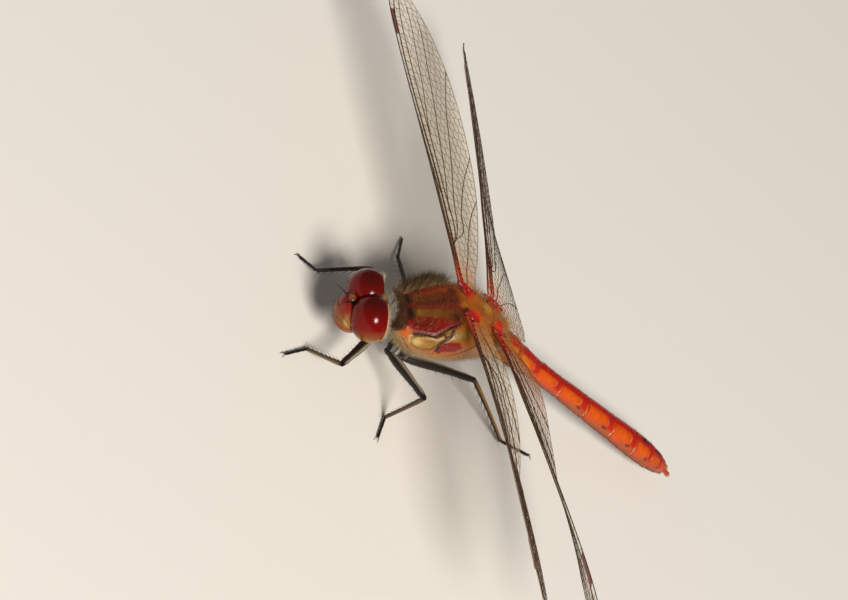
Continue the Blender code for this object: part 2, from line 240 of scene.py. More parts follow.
def sphere(centre, radii, rows, columns):
    """Points and faces of an ellipsoid, its poles on the Y axis."""
    polar = np.linspace(0, math.pi, rows + 2)[1:-1]
    around = np.arange(columns) * 2 * math.pi / columns
    p, a = np.meshgrid(polar, around, indexing="ij")
    ball = stacked(np.sin(p) * np.cos(a), np.cos(p), -np.sin(p) * np.sin(a)).reshape(-1, 3)
    ball = np.concatenate((ball, [(0, 1, 0), (0, -1, 0)]))
    count = rows * columns
    faces = [grid_faces(rows, columns, True)[:, ::-1], fan(np.arange(columns), count, True),
             fan(np.arange(columns) + count - columns, count + 1, False)]
    return ball * np.array(radii) + np.array(centre), faces


def slab(top, under):
    """Points and faces of a thin closed sheet between two grids of points."""
    rows, columns = top.shape[:2]
    count = rows * columns
    index = np.arange(count).reshape(rows, columns)
    rim = np.concatenate((index[0, :], index[1:, -1], index[-1, -2::-1], index[-2:0:-1, 0]))
    following = np.roll(rim, -1)
    edge = np.stack((rim, rim + count, following + count, following), axis=1)
    grid = grid_faces(rows, columns)
    points = np.concatenate((top.reshape(-1, 3), under.reshape(-1, 3)))
    return points, [grid, grid[:, ::-1] + count, edge[:, ::-1]]


def hairs(roots, directions, droop, lengths, radius, colours, bake, tip_shade=1.2):
    """One part of curved, tapering, three-sided hairs, and its bake places, each hair's at its root."""
    count, stages = len(roots), 3
    directions = unit(directions)
    side = unit(np.cross(directions, RNG.normal(size=(count, 3))))
    other = np.cross(directions, side)
    t = np.linspace(0, 1, stages + 1)[None, :-1, None, None]
    lengths = lengths.reshape(-1, 1, 1, 1)
    bend = directions[:, None, None] * t + droop[:, None, None] * t**2
    centre = roots[:, None, None] + bend * lengths
    ring = rings(side, other, np.arange(3) * 2 * math.pi / 3)[:, None]
    body = centre + ring * radius * (1 - 0.75 * t)
    tip = roots + directions * lengths[:, 0, 0] + droop * lengths[:, 0, 0]
    per = 3 * stages + 1
    points = np.concatenate((body.reshape(count, -1, 3), tip[:, None]), axis=1).reshape(-1, 3)
    base = (np.arange(count) * per)[:, None, None]
    faces = [(base + grid_faces(stages, 3, True)).reshape(-1, 4),
             (base + fan(np.arange(3) + 3 * (stages - 1), per - 1, True)).reshape(-1, 3),
             (base + np.array([[0, 1, 2]])).reshape(-1, 3)]
    shade = np.append(np.repeat(np.linspace(0.8, tip_shade, stages), 3), tip_shade)
    spread = np.concatenate((np.tile([(0, 0), (0.003, 0), (0.0015, 0.003)], (stages, 1)), [(0.0015, 0.0015)]))
    shades = (colours[:, None] * shade[:, None]).reshape(-1, 3)
    return (points, faces, shades), (bake[:, None] + spread).reshape(-1, 2)


def bars(starts, ends, radii):
    """Points and faces of many thin three-sided bars."""
    runs = unit(ends - starts)
    side = unit(np.cross(runs, np.array((0.0, 0.0, 1.0)) + 1e-6))
    other = np.cross(side, runs)
    ring = rings(side, other, np.arange(3) * 2 * math.pi / 3 + math.pi / 2) * radii[:, None, None]
    points = np.concatenate((starts[:, None] + ring, ends[:, None] + ring), axis=1).reshape(-1, 3)
    base = (np.arange(len(starts)) * 6)[:, None, None]
    return points, [(base + grid_faces(2, 3, True)).reshape(-1, 4),
                    (base + np.array([[2, 1, 0], [3, 4, 5]])).reshape(-1, 3)]


# ---------------------------------------------------------------- materials

class Finish:
    """Principled material and the nodes that feed it."""

    def __init__(self, name, roughness, coat=0.0, specular=0.5):
        self.material = bpy.data.materials.new(name)
        self.material.use_nodes = True
        self.tree = self.material.node_tree
        self.shader = self.tree.nodes["Principled BSDF"]
        self.wire(self.shader, {"Roughness": roughness, "Coat Weight": coat, "Coat Roughness": 0.12,
                                "Specular IOR Level": specular})

    def wire(self, node, inputs):
        """Set a node's inputs, each to a constant or to another node's output."""
        for title, value in inputs.items():
            if isinstance(value, bpy.types.NodeSocket):
                self.tree.links.new(value, node.inputs[title])
            else:
                node.inputs[title].default_value = value

    def node(self, kind, output, inputs, **settings):
        """Output of a new node."""
        node = self.tree.nodes.new("ShaderNode" + kind)
        for title, value in settings.items():
            setattr(node, title, value)
        self.wire(node, inputs)
        return node.outputs[output]

    def marking(self):
        """Colour that the mesh has for each of its points."""
        return self.node("Attribute", "Color", {}, attribute_name="marking")

    def place(self):
        """Place on the piece, in millimetres."""
        place = self.node("TexCoord", "Object", {})
        return self.node("Mapping", "Vector", {"Vector": place, "Scale": (1 / MM,) * 3})

    def noise(self, place, scale, detail=4.0):
        """Noise of the given number of lumps per millimetre."""
        inputs = {"Vector": place, "Scale": scale, "Detail": detail, "Roughness": 0.6}
        return self.node("TexNoise", "Fac", inputs)

    def ranged(self, value, low, high, first=0.0, last=1.0):
        """A value, from first to last, spread over another range."""
        return self.node("MapRange", "Result", {"Value": value, "From Min": first, "From Max": last,
                                                "To Min": low, "To Max": high})

    def relief(self, height, distance, strength=1.0):
        """Small relief of the given depth in millimetres."""
        inputs = {"Height": height, "Distance": distance * MM, "Strength": strength}
        self.wire(self.shader, {"Normal": self.node("Bump", "Normal", inputs)})


def marked_material(name, roughness, grain, depth, mottle, coat, specular):
    """Horn or hair with the markings of its mesh, mottled and finely grained."""
    finish = Finish(name, roughness, coat, specular)
    marking, place = finish.marking(), finish.place()
    tone = finish.ranged(finish.noise(place, grain * 0.25), 1 - mottle * 1.6, 1 + mottle * 1.6)
    grey = finish.node("CombineColor", "Color", {"Red": tone, "Green": tone, "Blue": tone})
    colour = finish.node("Mix", "Result", {"Factor": 1.0, "A": marking, "B": grey},
                         data_type="RGBA", blend_type="MULTIPLY")
    fine = finish.noise(place, grain, 2.0)
    rough = finish.ranged(fine, roughness * 0.75, min(roughness * 1.3, 1.0))
    finish.wire(finish.shader, {"Base Color": colour, "Roughness": rough})
    finish.relief(fine, depth)
    return finish.material


def eye_material():
    """Glossy, with fine facets."""
    finish = Finish("eye", 0.15, 0.10, 0.15)
    finish.wire(finish.shader, {"Base Color": finish.marking()})
    facets = finish.node("TexVoronoi", "Distance", {"Vector": finish.place(), "Scale": 20.0})
    finish.relief(facets, -0.004, 0.6)
    return finish.material


def membrane_material():
    """Clear, glossy film with a faint amber tint; where its markings lose their blue it is denser."""
    finish = Finish("membrane", 0.12, 0.0, 0.9)
    marking = finish.marking()
    blue = finish.node("SeparateColor", "Blue", {"Color": marking})
    dense = finish.ranged(blue, 0.17, 0.42, 0.24, 0.02)
    finish.wire(finish.shader, {"Base Color": marking, "Alpha": dense})
    finish.relief(finish.noise(finish.place(), 1.6), 0.05, 0.5)
    return finish.material


# Name, roughness, grains per millimetre, depth of the grain, mottling, coat, specular level.
MARKED = (
    ("skin", 0.27, 9.0, 0.03, 0.22, 0.08, 0.30),
    ("horn", 0.30, 12.0, 0.008, 0.15, 0.1, 0.35),
    ("leg", 0.38, 10.0, 0.010, 0.2, 0.0, 0.35),
    ("hair", 0.60, 4.0, 0.0, 0.1, 0.0, 0.15),
    ("vein", 0.42, 6.0, 0.003, 0.15, 0.0, 0.3),
)
MATERIALS = {name: marked_material(name, *values) for name, *values in MARKED}
MATERIALS["eye"] = eye_material()
MATERIALS["membrane"] = membrane_material()


# ---------------------------------------------------------------- body skin

# (x, lowest z, highest z, half width) of the trunk, from the neck to where the abdomen starts.
TRUNK = (
    (5.10, -5.20, -4.62, 0.40), (4.85, -5.35, -4.30, 0.95), (4.45, -5.45, -3.95, 1.25),
    (4.12, -5.50, -3.68, 1.58), (3.84, -5.50, -3.58, 1.72), (3.55, -5.60, -3.30, 1.92),
    (2.80, -5.90, -2.55, 2.50), (1.60, -6.15, -1.25, 3.00), (0.40, -5.95, -0.10, 3.15),
    (-0.90, -5.35, 0.45, 3.00), (-2.30, -4.60, 0.60, 2.60), (-3.60, -3.60, 0.58, 2.10),
    (-4.60, -2.72, 0.30, 1.62), (-5.26, -2.20, 0.02, 1.24),
)
TRUNK_TAPER = -0.12
TRUNK_SQUARENESS = 2.3
# (length, front radius, rear radius) of each ring of the abdomen.
RINGS = (
    (0.6, 1.12, 1.18), (1.5, 1.20, 1.12), (3.0, 1.08, 0.84), (3.25, 0.84, 0.84), (3.7, 0.85, 0.92),
    (3.7, 0.92, 0.98), (3.15, 0.98, 1.07), (2.3, 1.07, 1.00), (1.5, 0.98, 0.78), (0.8, 0.76, 0.50),
)
RING_LENGTHS, RING_FRONTS, RING_REARS = np.array(RINGS).T
RING_ENDS = np.cumsum(RING_LENGTHS)
ABDOMEN_START = (-5.26, 0.22, -1.08)
ABDOMEN_DROOP = 0.016
ABDOMEN_LEAN = 0.28
ABDOMEN_SQUARENESS = 2.05
ABDOMEN_LENGTH = RING_ENDS[-1]
HALF_GIRTH = 9.0                 # trunk's back to belly over the skin, to put girth into millimetres
TRUNK_ROWS = 190
ABDOMEN_ROWS = 290
AROUND = 192


def ring_at(along):
    """Number of the abdomen's ring at a way along it, and the share of that ring passed."""
    ring = np.clip(np.searchsorted(RING_ENDS, along, side="right"), 0, len(RINGS) - 1)
    lengths = RING_LENGTHS[ring]
    return ring, np.clip((along - (RING_ENDS[ring] - lengths)) / lengths, 0, 1)


def ring_radius(along):
    """Abdomen's half width: each plate swells, dips to its joint and stands a little over the next."""
    ring, share = ring_at(along)
    radius = RING_FRONTS[ring] + (RING_REARS[ring] - RING_FRONTS[ring]) * share - 0.02
    radius = radius + 0.035 * np.sin(math.pi * share) - 0.05 * bump(share * 3, 0.16)
    to_end = RING_LENGTHS[ring] * (1 - share)
    return radius + 0.035 * bump(to_end - 0.20, 0.13) - 0.05 * step(0.07, 0.0, to_end)


def section(girth, squareness):
    """Height and half width, each up to 1, of a rounded section."""
    angle = math.pi * (0.5 - girth)
    c, s = np.cos(angle), np.sin(angle)
    return np.sign(s) * np.abs(s) ** (2 / squareness), np.abs(c) ** (2 / squareness)


def skin_points(x, girth, sign):
    """Skin's points; x runs on past the trunk along the abdomen."""
    low, high, half_width = (curve(TRUNK, column, x) for column in (1, 2, 3))
    z, y = section(girth, TRUNK_SQUARENESS)
    trunk = (x, sign * half_width * y * (1 - TRUNK_TAPER * z), (low + high) / 2 + (high - low) / 2 * z)

    along = np.clip(ABDOMEN_START[0] - x, 0, ABDOMEN_LENGTH)
    radius = ring_radius(along)
    z, y = section(girth, ABDOMEN_SQUARENESS)
    keel = 0.05 * bump(girth, 0.035) * step(1.5, 4.0, along)
    flank = 0.05 * bump(girth - 0.70, 0.03) * step(0.5, 3.0, along)
    out = radius * (1 + keel + flank)
    lean = ABDOMEN_LEAN * step(0.0, 1.5, along)
    middle = ABDOMEN_START[2] - ABDOMEN_DROOP * along + (0.03 + 0.05 * step(0.74, 0.95, girth)) * radius
    tail = (x + lean * radius * z, ABDOMEN_START[1] + sign * out * y, middle + out * z * 0.97)
    joined = step(-0.25, 0.45, ABDOMEN_START[0] - x)[..., None]
    return stacked(*trunk) * (1 - joined) + stacked(*tail) * joined


# Lines and plates of the trunk, as (x, girth in millimetres from the back) on either side.
SHOULDER_LINE = ((3.15, 3.7), (2.95, 3.15), (2.6, 2.9), (2.05, 2.85), (1.75, 2.35), (1.35, 1.8), (0.8, 1.45))
FLANK_LINE = ((0.6, 4.65), (1.1, 4.45), (1.38, 3.7), (1.15, 2.9), (1.15, 2.0))
REAR_LINE = ((0.0, 6.4), (0.2, 5.4), (-0.7, 4.4), (-1.2, 3.2), (-1.6, 2.4))
LOW_LINE = ((3.2, 5.4), (2.2, 5.9), (0.8, 6.4), (-1.2, 6.8), (-3.4, 6.6))
PANEL = ((2.95, 3.6), (2.5, 3.05), (1.9, 3.0), (1.6, 2.5), (1.3, 2.9), (1.5, 3.6), (1.5, 4.4), (2.0, 4.85),
         (2.6, 4.8), (2.95, 4.3))
SHOULDER_PLATE = ((3.7, 1.1), (2.4, 1.05), (1.5, 1.3), (1.0, 1.5), (1.8, 2.4), (2.1, 2.9), (2.7, 3.0),
                  (3.1, 3.6), (3.7, 4.3))
HINGE_PLATE = ((1.7, 2.3), (1.2, 2.0), (0.2, 2.0), (-0.3, 2.6), (0.3, 3.2), (1.3, 3.3))
FLANK_PLATE = ((1.35, 3.7), (1.1, 3.3), (0.3, 3.2), (-0.3, 3.7), (-0.2, 4.3), (0.6, 4.5), (1.1, 4.5))
REAR_PLATE = ((-0.2, 2.4), (-1.6, 1.9), (-3.6, 2.6), (-4.6, 3.4), (-3.4, 4.8), (-1.2, 5.0))
FRONT_PLATE = ((3.75, 0.2), (3.3, 0.3), (3.35, 1.5), (3.75, 1.9))


def skin_relief(x, girth):
    """Height over the smooth skin: the ridge of the back, seams and plates, the rings' ridges and grain."""
    arc = girth * HALF_GIRTH
    height = 0.13 * bump(arc, 0.16) * band(0.35, 3.3, 0.25, x) + 0.10 * patch(x, arc, PANEL, 0.25)
    for path in (SHOULDER_LINE, FLANK_LINE, REAR_LINE, LOW_LINE):
        away = line_distance(x, arc, path)
        height += 0.015 * bump(away - 0.28, 0.16) - 0.07 * bump(away, 0.08)
    height -= 0.16 * bump(x - 0.12, 0.16) * step(2.1, 1.2, arc)
    for place, size in ((-0.55, 0.62), (-3.05, 0.52)):
        height += 0.20 * bump(np.hypot(x - place, arc - 0.75), size)
        height += 0.22 * bump(np.hypot(x - place + 1.15, arc), 0.42)
    height -= 0.14 * bump(x + 2.15, 0.16) * step(2.2, 1.4, arc)
    height += 0.06 * bump(x - 4.12, 0.14) * step(0.75, 0.3, girth)
    height -= 0.08 * bump(x - 3.84, 0.08)
    along = ABDOMEN_START[0] - x
    for ridge in (1.45, 3.15, 5.9):
        height += 0.05 * bump(along - ridge - 0.25 * girth, 0.05) * step(0.75, 0.6, girth)
    rough = np.sin(17.3 * along + 5.0 * np.sin(21.0 * girth)) * np.sin(9.1 * along - 34.0 * girth)
    teeth = np.sin(11.0 * along) * np.sin(4.3 * along + 1.0) * bump(girth, 0.045)
    return height + step(0.6, 1.4, along) * (0.010 * rough + 0.030 * teeth)


DARK = (0.008, 0.005, 0.004)
MAROON = (0.100, 0.004, 0.002)
RED_BROWN = (0.16, 0.010, 0.003)
RED = (0.19, 0.005, 0.002)
AMBER = (0.32, 0.082, 0.007)
TAN = (0.31, 0.165, 0.058)
OLIVE = (0.20, 0.090, 0.006)
YELLOW = (0.25, 0.115, 0.011)
CREAM = (0.56, 0.39, 0.15)
SCARLET = (0.34, 0.006, 0.001)
ORANGE = (0.48, 0.048, 0.001)
PINKISH = (0.27, 0.060, 0.008)
# Painted highlight on the raised rim before each joint of the abdomen.
RIM_HIGHLIGHT = (0.74, 0.54, 0.32)


def trunk_colours(x, girth, sign):
    """Markings of the trunk, with painted light: the right side's back stripe is redder and fainter than the
    left's.
    """
    arc = girth * HALF_GIRTH

    def away(place, level, stretch=1.0):
        return np.hypot(x - place, (arc - level) / stretch)

    worn = 0.6 + 0.4 * np.sin(2.3 * x + 3.0 * arc) * np.sin(4.1 * arc - 1.7 * x)
    stripe = worn * (0.30 + 0.70 * step(1.7, 2.6, x)) * band(0.9, 3.3, 0.25, x) * band(0.40, 0.95, 0.22, arc)
    rim = line_distance(x, arc, PANEL + PANEL[:1])
    lines = ((SHOULDER_LINE, 0.95, 0.15, 0.05), (FLANK_LINE, 0.9, 0.13, 0.05), (REAR_LINE, 0.7, 0.12, 0.04),
             (LOW_LINE, 0.5, 0.12, 0.04))
    seams = [most * step(far, near, line_distance(x, arc, path)) for path, most, far, near in lines]
    ripple = 0.12 * np.sin(9 * x) * np.sin(7 * arc)
    pads = [step(0.62, 0.30, away(place - 0.25 * (arc - 1.1), 1.1, 1.5) + ripple) for place in (-0.1, -2.9)]
    creases = np.maximum(bump(arc - 1.75 - 0.25 * np.sin(2.2 * x), 0.12),
                         0.8 * bump(x + 2.15, 0.12) * step(2.2, 1.4, arc))
    return layered(
        x, AMBER,
        (step(4.7, 5.6, arc), TAN),
        (step(0.5, 1.1, x) * step(3.0, 2.6, arc), RED_BROWN),
        (step(0.6, 1.2, x) * step(1.3, 0.8, arc), (0.11, 0.009, 0.003)),
        # Painted light: on the right side the stripe is faint and a red band covers it.
        (stripe * np.where(sign > 0, 1.0, 0.25), (0.30, 0.180, 0.014)),
        (0.8 * (sign < 0) * band(0.6, 3.2, 0.3, x) * band(1.0, 1.7, 0.25, arc), (0.42, 0.055, 0.004)),
        (0.5 * band(0.9, 2.2, 0.3, x) * band(2.6, 3.3, 0.2, arc), (0.50, 0.13, 0.01)),
        (patch(x, arc, SHOULDER_PLATE, 0.12), RED),
        (0.8 * bump(away(2.9, 1.9), 0.7), MAROON),
        (band(3.25, 3.6, 0.1, x) * band(3.0, 4.8, 0.3, arc), (0.42, 0.075, 0.006)),
        (patch(x, arc, HINGE_PLATE, 0.12), OLIVE),
        (patch(x, arc, PANEL, 0.07), YELLOW),
        (0.85 * step(0.11, 0.05, rim) * step(2.2, 3.2, arc + 0.25 * x), DARK),
        (0.7 * band(0.14, 0.24, 0.04, rim) * step(2.6, 2.9, x) * step(3.2, 3.6, arc), CREAM),
        (0.75 * bump(away(2.65, 4.25, 1.3), 0.42), CREAM),
        (0.5 * bump(away(1.9, 3.7, 1.2), 0.45), OLIVE),
        (patch(x, arc, FLANK_PLATE, 0.10), (0.15, 0.005, 0.002)),
        (0.6 * patch(x, arc, REAR_PLATE, 0.4), YELLOW),
        (np.max(seams, axis=0), DARK),
        (0.7 * step(0.10, 0.03, arc) * band(0.8, 3.0, 0.4, x), (0.07, 0.012, 0.004)),
        (0.9 * patch(x, arc, FRONT_PLATE, 0.1), DARK),
        (0.8 * bump(away(1.05, 1.0, 1.6), 0.25), DARK),
        *[(pad, (0.46, 0.012, 0.006)) for pad in pads],
        (0.75 * creases * band(-4.6, -0.5, 0.4, x), (0.07, 0.018, 0.006)),
        *[(0.8 * step(0.45, 0.2, away(place, 0)), (0.45, 0.20, 0.02)) for place in (-1.4, -4.1)],
        (step(3.75, 3.95, x), (0.030, 0.006, 0.003)),
        (0.8 * bump(away(4.25, 1.5), 0.45), (0.16, 0.012, 0.005)),
        (bump(x - 3.84, 0.10), DARK),
        (step(4.7, 4.9, x), DARK))


def abdomen_colours(along, girth):
    """Markings of the abdomen's rings, with painted highlights where each red rear band begins and on each
    joint's rim.
    """
    ring, share = ring_at(along)
    share = np.clip(share + 0.012 * np.sin(19 * girth + 2.1 * ring), 0, 1)
    girth = girth + 0.010 * np.sin(5.3 * along + 0.7) + 0.006 * np.sin(13.7 * along)
    back = 0.17 + 0.03 * step(0.6, 0.8, share) - 0.05 * (ring >= 5) + 0.04 * (ring >= 7) + 0.03 * (ring <= 2)
    rear = band(0.68, 0.93, 0.06, share) * step(0.52, 0.38, girth)
    # Painted highlight: a pale line across the flank where each ring's red rear band begins.
    rear_highlight = bump(share - 0.70 - 0.02 * np.sin(3.0 * ring), 0.022) * band(0.20, 0.36, 0.05, girth)
    low = band(0.42, 0.62, 0.06, girth) * band(0.35, 0.96, 0.15, share)
    flecks = step(0.25, 0.6, np.sin(17 * along + 3 * girth) * np.sin(38 * girth + along))
    spot = step(1.2, 0.6, np.hypot((share - 0.66) / 0.085, (girth - 0.45) / 0.046))
    # Painted highlight on the raised rim just before each joint.
    joint = band(0.942, 0.956, 0.006, share) * band(0.30, 0.56, 0.06, girth)
    notch = band(0.90, 0.98, 0.03, share) * band(0.02, 0.05, 0.012, girth)
    dash = step(0.085, 0.05, girth) * band(0.20, 0.70, 0.12, share)
    return layered(
        along, ORANGE,
        (0.6 * band(0.10, 0.60, 0.12, share) * band(0.20, 0.42, 0.06, girth), (0.54, 0.088, 0.002)),
        (0.8 * (ring <= 1) * band(0.1, 0.8, 0.1, share), (0.36, 0.14, 0.010)),
        (0.6 * (ring == 2) * band(0.05, 0.42, 0.08, share), (0.44, 0.14, 0.008)),
        (step(back + 0.05, back - 0.05, girth), SCARLET),
        (0.85 * (ring >= 1) * rear, SCARLET),
        # Painted highlight where each red rear band begins.
        (0.5 * (ring >= 2) * rear_highlight, (0.62, 0.22, 0.10)),
        (0.65 * (ring >= 4) * low, PINKISH),
        (0.55 * (along > 1.0) * band(0.55, 0.66, 0.03, girth), (0.14, 0.035, 0.008)),
        (0.9 * (along > 1.0) * band(0.655, 0.69, 0.015, girth), DARK),
        (0.6 * (ring >= 8) * flecks, (0.15, 0.02, 0.006)),
        (0.85 * step(0.70, 0.78, girth), (0.10, 0.025, 0.012)),
        (0.9 * ((ring >= 4) & (ring <= 8)) * spot, (0.09, 0.008, 0.004)),
        # Painted highlight on each joint's rim.
        (0.7 * (ring >= 3) * joint, RIM_HIGHLIGHT),
        ((along < 22.6) * step(0.965, 0.980, share) * step(0.05, 0.14, girth), DARK),
        (0.8 * (ring >= 2) * notch, (0.05, 0.01, 0.01)),
        (0.9 * ((ring == 7) | (ring == 8)) * dash, DARK))


def body_colours(x, girth, sign):
    """Markings of the whole skin; its coat has the same."""
    along = ABDOMEN_START[0] - x
    on_tail = step(-0.3, 0.2, along)[..., None]
    tail = abdomen_colours(np.clip(along, 0, ABDOMEN_LENGTH - 1e-6), girth)
    return trunk_colours(x, girth, sign) * (1 - on_tail) + tail * on_tail


def bake_place(x, girth, sign):
    """Place of a point of the skin on its unwrap, by its way along the body and round it."""
    length = TRUNK[0][0] - ABDOMEN_START[0] + ABDOMEN_LENGTH
    return stacked(0.02 + 0.95 * (TRUNK[0][0] - x) / length, 0.5 + sign * 0.47 * girth)


def body_points(x, girth, sign):
    """Points of the skin with its relief, and its normals."""
    small = 0.01
    here = skin_points(x, girth, sign)
    along = skin_points(x - small, girth, sign) - here
    around = (skin_points(x, np.minimum(girth + small, 1.0), sign)
              - skin_points(x, np.maximum(girth - small, 0.0), sign))
    normal = unit(np.cross(around, along) * sign[..., None])
    centre_z = np.where(x < ABDOMEN_START[0], ABDOMEN_START[2], (curve(TRUNK, 1, x) + curve(TRUNK, 2, x)) / 2)
    outward = normal[..., 1] * here[..., 1] + normal[..., 2] * (here[..., 2] - centre_z)
    normal = normal * np.where(outward < 0, -1.0, 1.0)[..., None]
    return here + normal * skin_relief(x, girth)[..., None], normal


def make_skin():
    """One skin over the neck plate, the wing-bearing trunk and the whole abdomen."""
    trunk = np.linspace(TRUNK[0][0], ABDOMEN_START[0], TRUNK_ROWS, endpoint=False)
    tail = ABDOMEN_START[0] - np.linspace(0, ABDOMEN_LENGTH - 0.001, ABDOMEN_ROWS)
    turn = (np.arange(AROUND) + 0.5) / AROUND * 2
    x, turn = np.meshgrid(np.concatenate((trunk, tail)), turn, indexing="ij")
    place = (x, np.where(turn <= 1, turn, 2 - turn), np.where(turn <= 1, 1.0, -1.0))
    points, _ = body_points(*place)
    colours = body_colours(*place)
    rows = len(x)
    points = np.concatenate((points.reshape(-1, 3), [points[0].mean(axis=0), points[-1].mean(axis=0)]))
    colours = np.concatenate((colours.reshape(-1, 3), colours[0, :1], colours[-1, :1]))
    bake = np.concatenate((bake_place(*place).reshape(-1, 2), [(0.01, 0.5), (0.98, 0.5)]))
    ring, count = np.arange(AROUND), rows * AROUND
    faces = [grid_faces(rows, AROUND, True), fan(ring, count, False),
             fan(ring + count - AROUND, count + 1, True)]
    nodes = ["prothorax", "thorax"] + [f"abdomen_segment_{i:02d}" for i in range(1, 11)]
    add_piece("body_skin", [(points, faces, colours)], BODY, "skin", nodes, bake)


# ---------------------------------------------------------------- wings

# (station, front edge, rear edge) of a wing laid flat.
FOREWING = (
    (0.0, 0.90, -1.30), (1.2, 0.95, -1.60), (3.0, 0.98, -2.55), (6.0, 1.00, -3.85),
    (10.0, 1.00, -5.20), (15.0, 0.95, -5.95), (19.0, 0.85, -6.05), (22.5, 0.62, -5.65),
    (25.3, 0.25, -4.75), (27.2, -0.35, -3.60), (28.0, -0.95, -2.75), (28.4, -1.60, -2.05),
)
HINDWING = (
    (0.0, 0.90, -2.80), (0.7, 0.95, -6.40), (2.0, 1.00, -7.75), (5.0, 1.00, -8.05),
    (8.5, 1.00, -7.95), (12.5, 0.95, -7.50), (17.0, 0.80, -6.70), (21.0, 0.55, -5.60),
    (24.0, 0.15, -4.45), (26.1, -0.50, -3.30), (26.9, -1.00, -2.70), (27.3, -1.60, -2.05),
)
# Main veins: radius, then (station, share of the chord from the leading edge) of each bend. The radial vein
# is the second.
FORE_VEINS = (
    (0.050, ((0.3, 0.16), (6.0, 0.105), (12.0, 0.070), (15.2, 0.0))),
    (0.060, ((0.3, 0.26), (4.0, 0.185), (10.0, 0.135), (15.2, 0.105), (22.6, 0.120), (25.4, 0.16),
             (27.6, 0.28))),
    (0.040, ((3.8, 0.19), (4.5, 0.26), (9.0, 0.22), (15.2, 0.195), (21.0, 0.21), (25.0, 0.29), (27.3, 0.46))),
    (0.034, ((13.6, 0.20), (14.8, 0.23), (18.0, 0.31), (22.0, 0.42), (26.2, 0.60))),
    (0.036, ((7.0, 0.237), (8.2, 0.28), (12.0, 0.36), (17.0, 0.47), (21.5, 0.60), (25.4, 0.80))),
    (0.036, ((3.8, 0.19), (4.5, 0.31), (8.0, 0.42), (13.0, 0.58), (18.0, 0.76), (21.4, 1.0))),
    (0.036, ((4.3, 0.28), (4.9, 0.47), (7.4, 0.58), (10.5, 0.75), (13.4, 1.0))),
    (0.034, ((0.4, 0.52), (2.4, 0.62), (4.8, 0.70), (7.2, 0.82), (9.2, 1.0))),
)
HIND_VEINS = (
    (0.050, ((0.3, 0.11), (6.0, 0.070), (9.5, 0.045), (12.6, 0.0))),
    (0.060, ((0.3, 0.18), (4.0, 0.105), (10.0, 0.080), (12.6, 0.080), (20.0, 0.100), (24.4, 0.16),
             (26.6, 0.28))),
    (0.040, ((3.0, 0.123), (3.6, 0.15), (9.0, 0.145), (14.0, 0.150), (20.0, 0.19), (24.0, 0.28),
             (26.4, 0.46))),
    (0.034, ((11.0, 0.147), (12.2, 0.168), (16.0, 0.25), (21.0, 0.40), (25.2, 0.62))),
    (0.036, ((5.6, 0.148), (6.6, 0.177), (11.0, 0.25), (16.0, 0.40), (20.5, 0.58), (24.2, 0.82))),
    (0.036, ((3.0, 0.123), (3.6, 0.175), (7.0, 0.25), (12.0, 0.43), (17.0, 0.68), (20.6, 1.0))),
    (0.036, ((3.3, 0.15), (3.9, 0.26), (6.0, 0.36), (10.0, 0.60), (13.8, 1.0))),
    (0.034, ((0.4, 0.24), (2.6, 0.32), (4.2, 0.46), (6.4, 0.68), (8.6, 1.0))),
    (0.032, ((0.4, 0.30), (2.0, 0.48), (3.6, 0.70), (5.0, 1.0))),
)
# Outline, main veins, station of the nodus, stations of the wing spot, and reach of the amber base.
WING_PAIRS = {
    "fore": (FOREWING, FORE_VEINS, 15.2, (22.9, 25.3), 5.0),
    "hind": (HINDWING, HIND_VEINS, 12.6, (21.6, 24.1), 6.0),
}
# Pair, side, hinge, sweep, lift, then pitch at the root, at a share of the span, and at the tip.
WINGS = (
    ("fore", "left", (0.10, 1.55, 0.05), 3.4, 3.5, (-12.0, 24.0, 0.42, 24.0)),
    ("fore", "right", (0.10, -1.55, 0.05), 10.2, 5.7, (-3.0, -1.5, 0.35, -1.5)),
    ("hind", "left", (-2.75, 1.45, 0.30), -6.9, 4.6, (9.0, 21.5, 0.36, 40.0)),
    ("hind", "right", (-2.75, -1.45, 0.55), -4.0, 6.3, (13.0, 26.0, 0.45, 26.0)),
)
WING_DROOP = 1.0
MEMBRANE = 0.012                 # thickness
CELL = 0.62                      # size of the wings' cells
SNAP = 0.20                      # a cell's corner this close to a main vein joins it
GHOST = 0.30                     # how far outside the cells' area the points that bound them lie
WING_GRID = (170, 40)            # points along and across a membrane
SPOT_GRID = (26, 8)
LADDER_RADIUS = 0.020
WALL_RADIUS = 0.018
MEMBRANE_CLEAR = (0.66, 0.50, 0.24)
MEMBRANE_AMBER = (0.62, 0.20, 0.02)
VEIN_BROWN = (0.050, 0.020, 0.008)
VEIN_MAROON = (0.065, 0.012, 0.005)
VEIN_RED = (0.27, 0.008, 0.004)
SPOT_EDGE = (0.012, 0.012, 0.012)
SPOT_RED = (0.16, 0.012, 0.006)


def edges(outline, station):
    """Front and rear edge of a wing."""
    return curve(outline, 1, station), curve(outline, 2, station)


